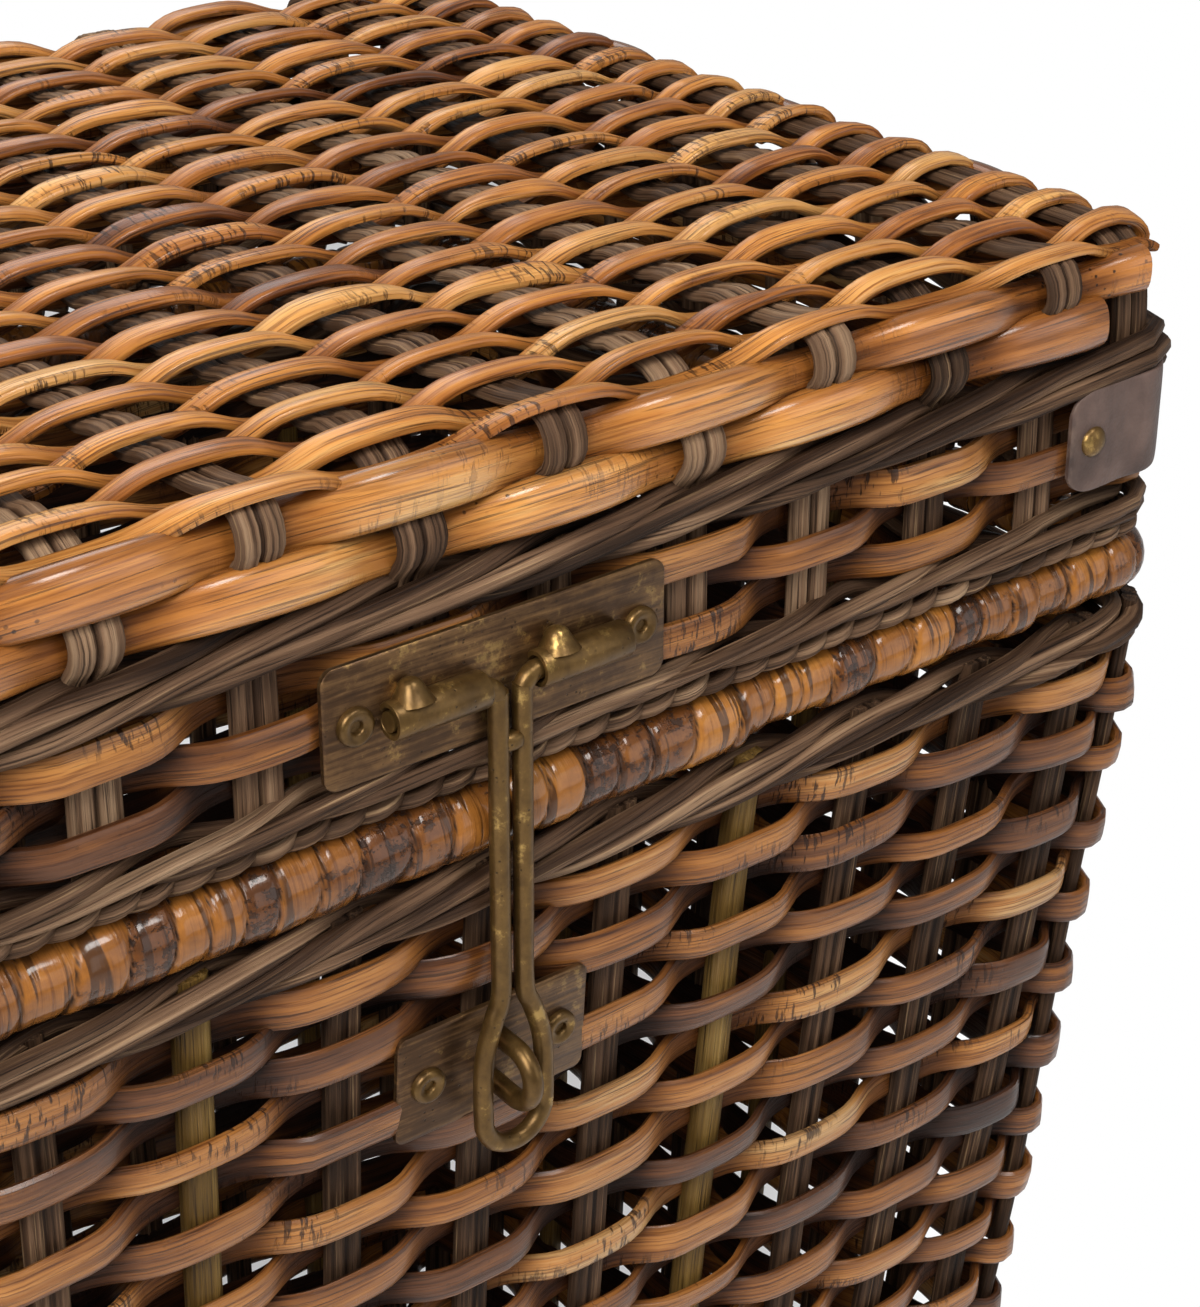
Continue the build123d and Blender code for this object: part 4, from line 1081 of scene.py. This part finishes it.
def haspLoopPiece():
    its, web = haspWire, haspWeb
    leg, bend, eye = its.leg, its.bend, its.eye
    turns = np.radians(np.linspace(0, 90, 7))
    end = [(haspKnuckle.at + haspKnuckle.length / 2 + its.endPast, 0), (haspKnuckle.at, 0)]
    corner = [(leg + bend * (1 - math.sin(turn)), -bend * (1 - math.cos(turn))) for turn in turns]
    neck = [(leg, -drop) for drop in (*its.straight, its.neck)]
    flareWide = (leg + its.flareOut, eye - its.flareIn, eye)
    flare = [(wide, -its.neck - drop) for wide, drop in zip(flareWide, its.flareDrops)]
    bottom = [(eye * math.cos(turn), -its.drop + eye * (1 - math.sin(turn))) for turn in turns]
    right = np.array(end + corner + neck + flare + bottom)
    left = right[:-1][::-1] * (-1, 1)
    route = smoothLine(np.vstack([right, left]), its.sample)
    bundle = Bundle()
    bundle.strand(xyz(route[:, 0], 0.0, route[:, 1]) + haspAxis, frontOut, wireProfile(its.radius))
    fill = xyz(0.0, -web.forward, np.linspace(-web.top, -web.low, web.samples)) + haspAxis
    bulge = np.sqrt(np.clip(1 - np.linspace(-1, 1, web.samples) ** 4, 0.1, 1))
    profile = ovalProfile(web.width, web.thick, 16, 0.8)
    bundle.strand(fill, rightwards, profile, 0.5, 1.0, 0.0, bulge, bulge)
    bundle.piece("haspLoop", finishes.brass, "antique_brass", "hasp", "hasp_loop")


staple = Spec(width=53 * mm, height=29 * mm, thick=1.6 * mm, corner=2.6 * mm, screwAt=18.5 * mm,
              wire=2.4 * mm, leg=6.65 * mm, reach=17 * mm, root=4 * mm, sample=0.8 * mm)


def staplePieces():
    its = staple
    low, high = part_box("staple_plate")
    tilt = plan.lean
    out = np.array([0, -math.cos(tilt), -math.sin(tilt)])
    up = np.array([0, -math.sin(tilt), math.cos(tilt)])
    middle = np.array([0, (low.y + high.y) / 2, (low.z + high.z) / 2])
    plate, wire, heads = Bundle(), Bundle(), Bundle()
    addPlate(plate, middle - out * its.thick / 2, out, its)
    face = middle + out * its.thick / 2
    leg, root = its.leg, its.root
    straight = its.reach - leg - its.wire
    turns = np.radians(np.linspace(90, -90, 13))
    bend = [(straight + leg * math.cos(turn), leg * math.sin(turn)) for turn in turns]
    upperLeg = [(-root, leg), (straight / 2, leg)]
    lowerLeg = [(straight / 2, -leg), (-root, -leg)]
    route = smoothLine(upperLeg + bend + lowerLeg, its.sample)
    centre = face + np.outer(route[:, 0], out) + np.outer(route[:, 1], up)
    wire.strand(centre, rightwards, wireProfile(its.wire))
    for sign in (-1, 1):
        addScrew(heads, face, sign * its.screwAt, out)
    plate.piece("staplePlate", finishes.plate, "antique_brass", "basket", "staple_plate", sharp=35)
    wire.piece("staple", finishes.brass, "antique_brass", "basket", "staple")
    heads.piece("stapleRivets", finishes.brass, "antique_brass", "basket", "staple_screws")


leatherCorner = Spec(inset=-0.2 * mm, thick=2.0 * mm, reach=24.3 * mm, endRound=8 * mm, endPull=0.42,
                     endThick=0.45, wornEdge=3 * mm, samples=64, sides=40, square=0.34,
                     stray=(8, 0.18 * mm), rivetIn=7.3 * mm, rivetRadius=3.9 * mm, rivetHeight=2.0 * mm,
                     rivetSeat=0.42)
cornerNames = {1: "front_right", 3: "back_right", 5: "back_left", 7: "front_left"}  # by stretch of the ring


def leatherCorners():
    its = leatherCorner
    ring = Ring(its.inset)
    rivets = Bundle()
    span = ring.arc + 2 * its.reach
    share = np.linspace(0, 1, its.samples)
    fromEnd = np.minimum(share, 1 - share) * span
    curve = np.sqrt(np.clip(1 - (1 - np.clip(fromEnd / its.endRound, 0, 1)) ** 2, 0.02, 1))
    wide = 1 - its.endPull * (1 - curve)
    deep = its.endThick + (1 - its.endThick) * curve
    crest = np.clip(fromEnd / its.wornEdge, 0, 1)
    for stretch, name in cornerNames.items():
        node = "leather_corner_" + name
        low, high = levels(node)
        middle = (low + high) / 2
        distance = ring.starts[stretch] - its.reach + share * span
        place, normal = ring.at(distance)
        swell = drift(its.samples, *its.stray)
        centre = outFrom(place, normal, swell, np.full(its.samples, middle))
        profile = ovalProfile(high - low, its.thick, its.sides, its.square)
        bundle = Bundle()
        bundle.strand(centre, (0, 0, 1), profile, 0.5, crest, 0.0, wide, deep)
        bundle.piece("leatherCorner_" + name, finishes.leather, "leather", "lid", node)
        for at in (its.rivetIn, span - its.rivetIn):
            spot, facing = ring.at(np.array([distance[0] + at]))
            seat = np.append(spot[0] + facing[0] * its.thick * its.rivetSeat, middle)
            addHead(rivets, seat, (*facing[0], 0), its.rivetRadius, its.rivetHeight, domeOutline)
    rivets.piece("leatherRivets", finishes.brass, "antique_brass", "lid", "leather_rivets")


def hingeFinishes():
    for node in frame["nodes"].values():
        if node.name.startswith("hinge"):
            for slot in node.material_slots:
                slot.material = finishes["plate" if "leaf" in node.name else "brass"]


haspPlatePiece()
haspLoopPiece()
staplePieces()
leatherCorners()
hingeFinishes()
print("hamper: fittings done")

# plain studio: the floor turns pure white, but not beside the hamper and in a strip behind it
studio = Spec(floorSize=14.0, floorColour=colour(0.86, 0.86, 0.87), whiteFrom=0.24, whiteBy=0.46,
              skyLevel=0.27, shadeAlong=(0.634, 0.774, 0), shadeMiddle=0.85, shadeLong=(1.10, 1.30),
              shadeAcross=(0.774, -0.634, 0), shadeAside=-0.10, shadeWide=(0.28, 0.38), aim=(0, -0.05, 0.5))


def studioFloor():
    its = studio
    half = its.floorSize / 2
    mesh = bpy.data.meshes.new("studioFloor")
    corners = [(-half, -half, 0), (half, -half, 0), (half, half, 0), (-half, half, 0)]
    mesh.from_pydata(corners, [], [(0, 1, 2, 3)])
    floor = bpy.data.objects.new("studioFloor", mesh)
    bpy.context.scene.collection.objects.link(floor)
    paint = Finish("floorPaint", Roughness=0.9, Specular_IOR_Level=0.1, Base_Color=its.floorColour)
    place = paint.objectPlace()
    away = paint.vectors("LENGTH", place, out="Value")
    along = paint.vectors("DOT_PRODUCT", place, its.shadeAlong, out="Value")
    across = paint.vectors("DOT_PRODUCT", place, its.shadeAcross, out="Value")
    beyond = paint.band(paint.maths("ABSOLUTE", along - its.shadeMiddle), *its.shadeLong)
    beside = paint.band(paint.maths("ABSOLUTE", across - its.shadeAside), *its.shadeWide)
    far = paint.band(away, its.whiteFrom, its.whiteBy) * paint.maths("MAXIMUM", beyond, beside)
    plain = Shade(paint, paint.shader.outputs[0])
    white = paint.node("Emission", {}, {"Color": colour(1, 1, 1), "Strength": 1.0})
    both = paint.node("MixShader", {}, {0: paint.ray("Is Camera Ray") * far, 1: plain, 2: white})
    paint.plug(paint.tree.nodes["Material Output"].inputs["Surface"], both)
    mesh.materials.append(paint.material)


def studioSky():
    world = bpy.data.worlds.new("studioSky")
    world.use_nodes = True
    bpy.context.scene.world = world
    sky = Nodes(world.node_tree)
    seen = sky.maths("MAXIMUM", sky.ray("Is Camera Ray"), sky.ray("Is Transmission Ray"))
    level = sky.node("MapRange", {}, {"Value": seen, "To Min": studio.skyLevel})
    backdrop = sky.tree.nodes["Background"]
    sky.plug(backdrop.inputs["Strength"], level)
    sky.plug(backdrop.inputs["Color"], colour(1, 1, 1))


def softBox(name, place, size, power, tint):
    light = bpy.data.lights.new(name, "AREA")
    light.shape = "RECTANGLE"
    light.size, light.size_y = size
    light.energy = power
    light.color = tint
    lamp = bpy.data.objects.new(name, light)
    lamp.location = place
    lamp.rotation_euler = (Vector(studio.aim) - Vector(place)).to_track_quat("-Z", "Y").to_euler()
    bpy.context.scene.collection.objects.link(lamp)


photoView = Spec(place=(-0.3381, -0.6057, 0.8262), heading=-39.32, pitch=-26.63, roll=0.32, lens=82.5)


def photoCamera():
    its = photoView
    data = bpy.data.cameras.new("photoCamera")
    data.lens = its.lens
    data.clip_start = 0.02
    data.clip_end = 60
    camera = bpy.data.objects.new("photoCamera", data)
    heading = Matrix.Rotation(math.radians(its.heading), 4, "Z")
    pitch = Matrix.Rotation(math.radians(90 + its.pitch), 4, "X")
    roll = Matrix.Rotation(math.radians(its.roll), 4, "Z")
    camera.matrix_world = Matrix.Translation(its.place) @ (heading @ pitch @ roll)
    bpy.context.scene.collection.objects.link(camera)
    bpy.context.scene.camera = camera


studioFloor()
studioSky()
softBox("keyLight", (-1.3, -0.9, 1.7), size=(1.0, 1.0), power=48, tint=(1.0, 0.97, 0.93))
softBox("topLight", (0.3, -1.0, 2.1), size=(0.5, 0.5), power=13, tint=(1.0, 0.98, 0.95))
softBox("fillLight", (1.2, -1.9, 1.1), size=(1.6, 1.4), power=9, tint=(0.97, 0.98, 1.0))
softBox("backLight", (0.3, 1.5, 1.7), size=(1.6, 1.0), power=10, tint=(1.0, 1.0, 1.0))
photoCamera()
bpy.context.scene.view_settings.view_transform = "Standard"
print("hamper: studio done")
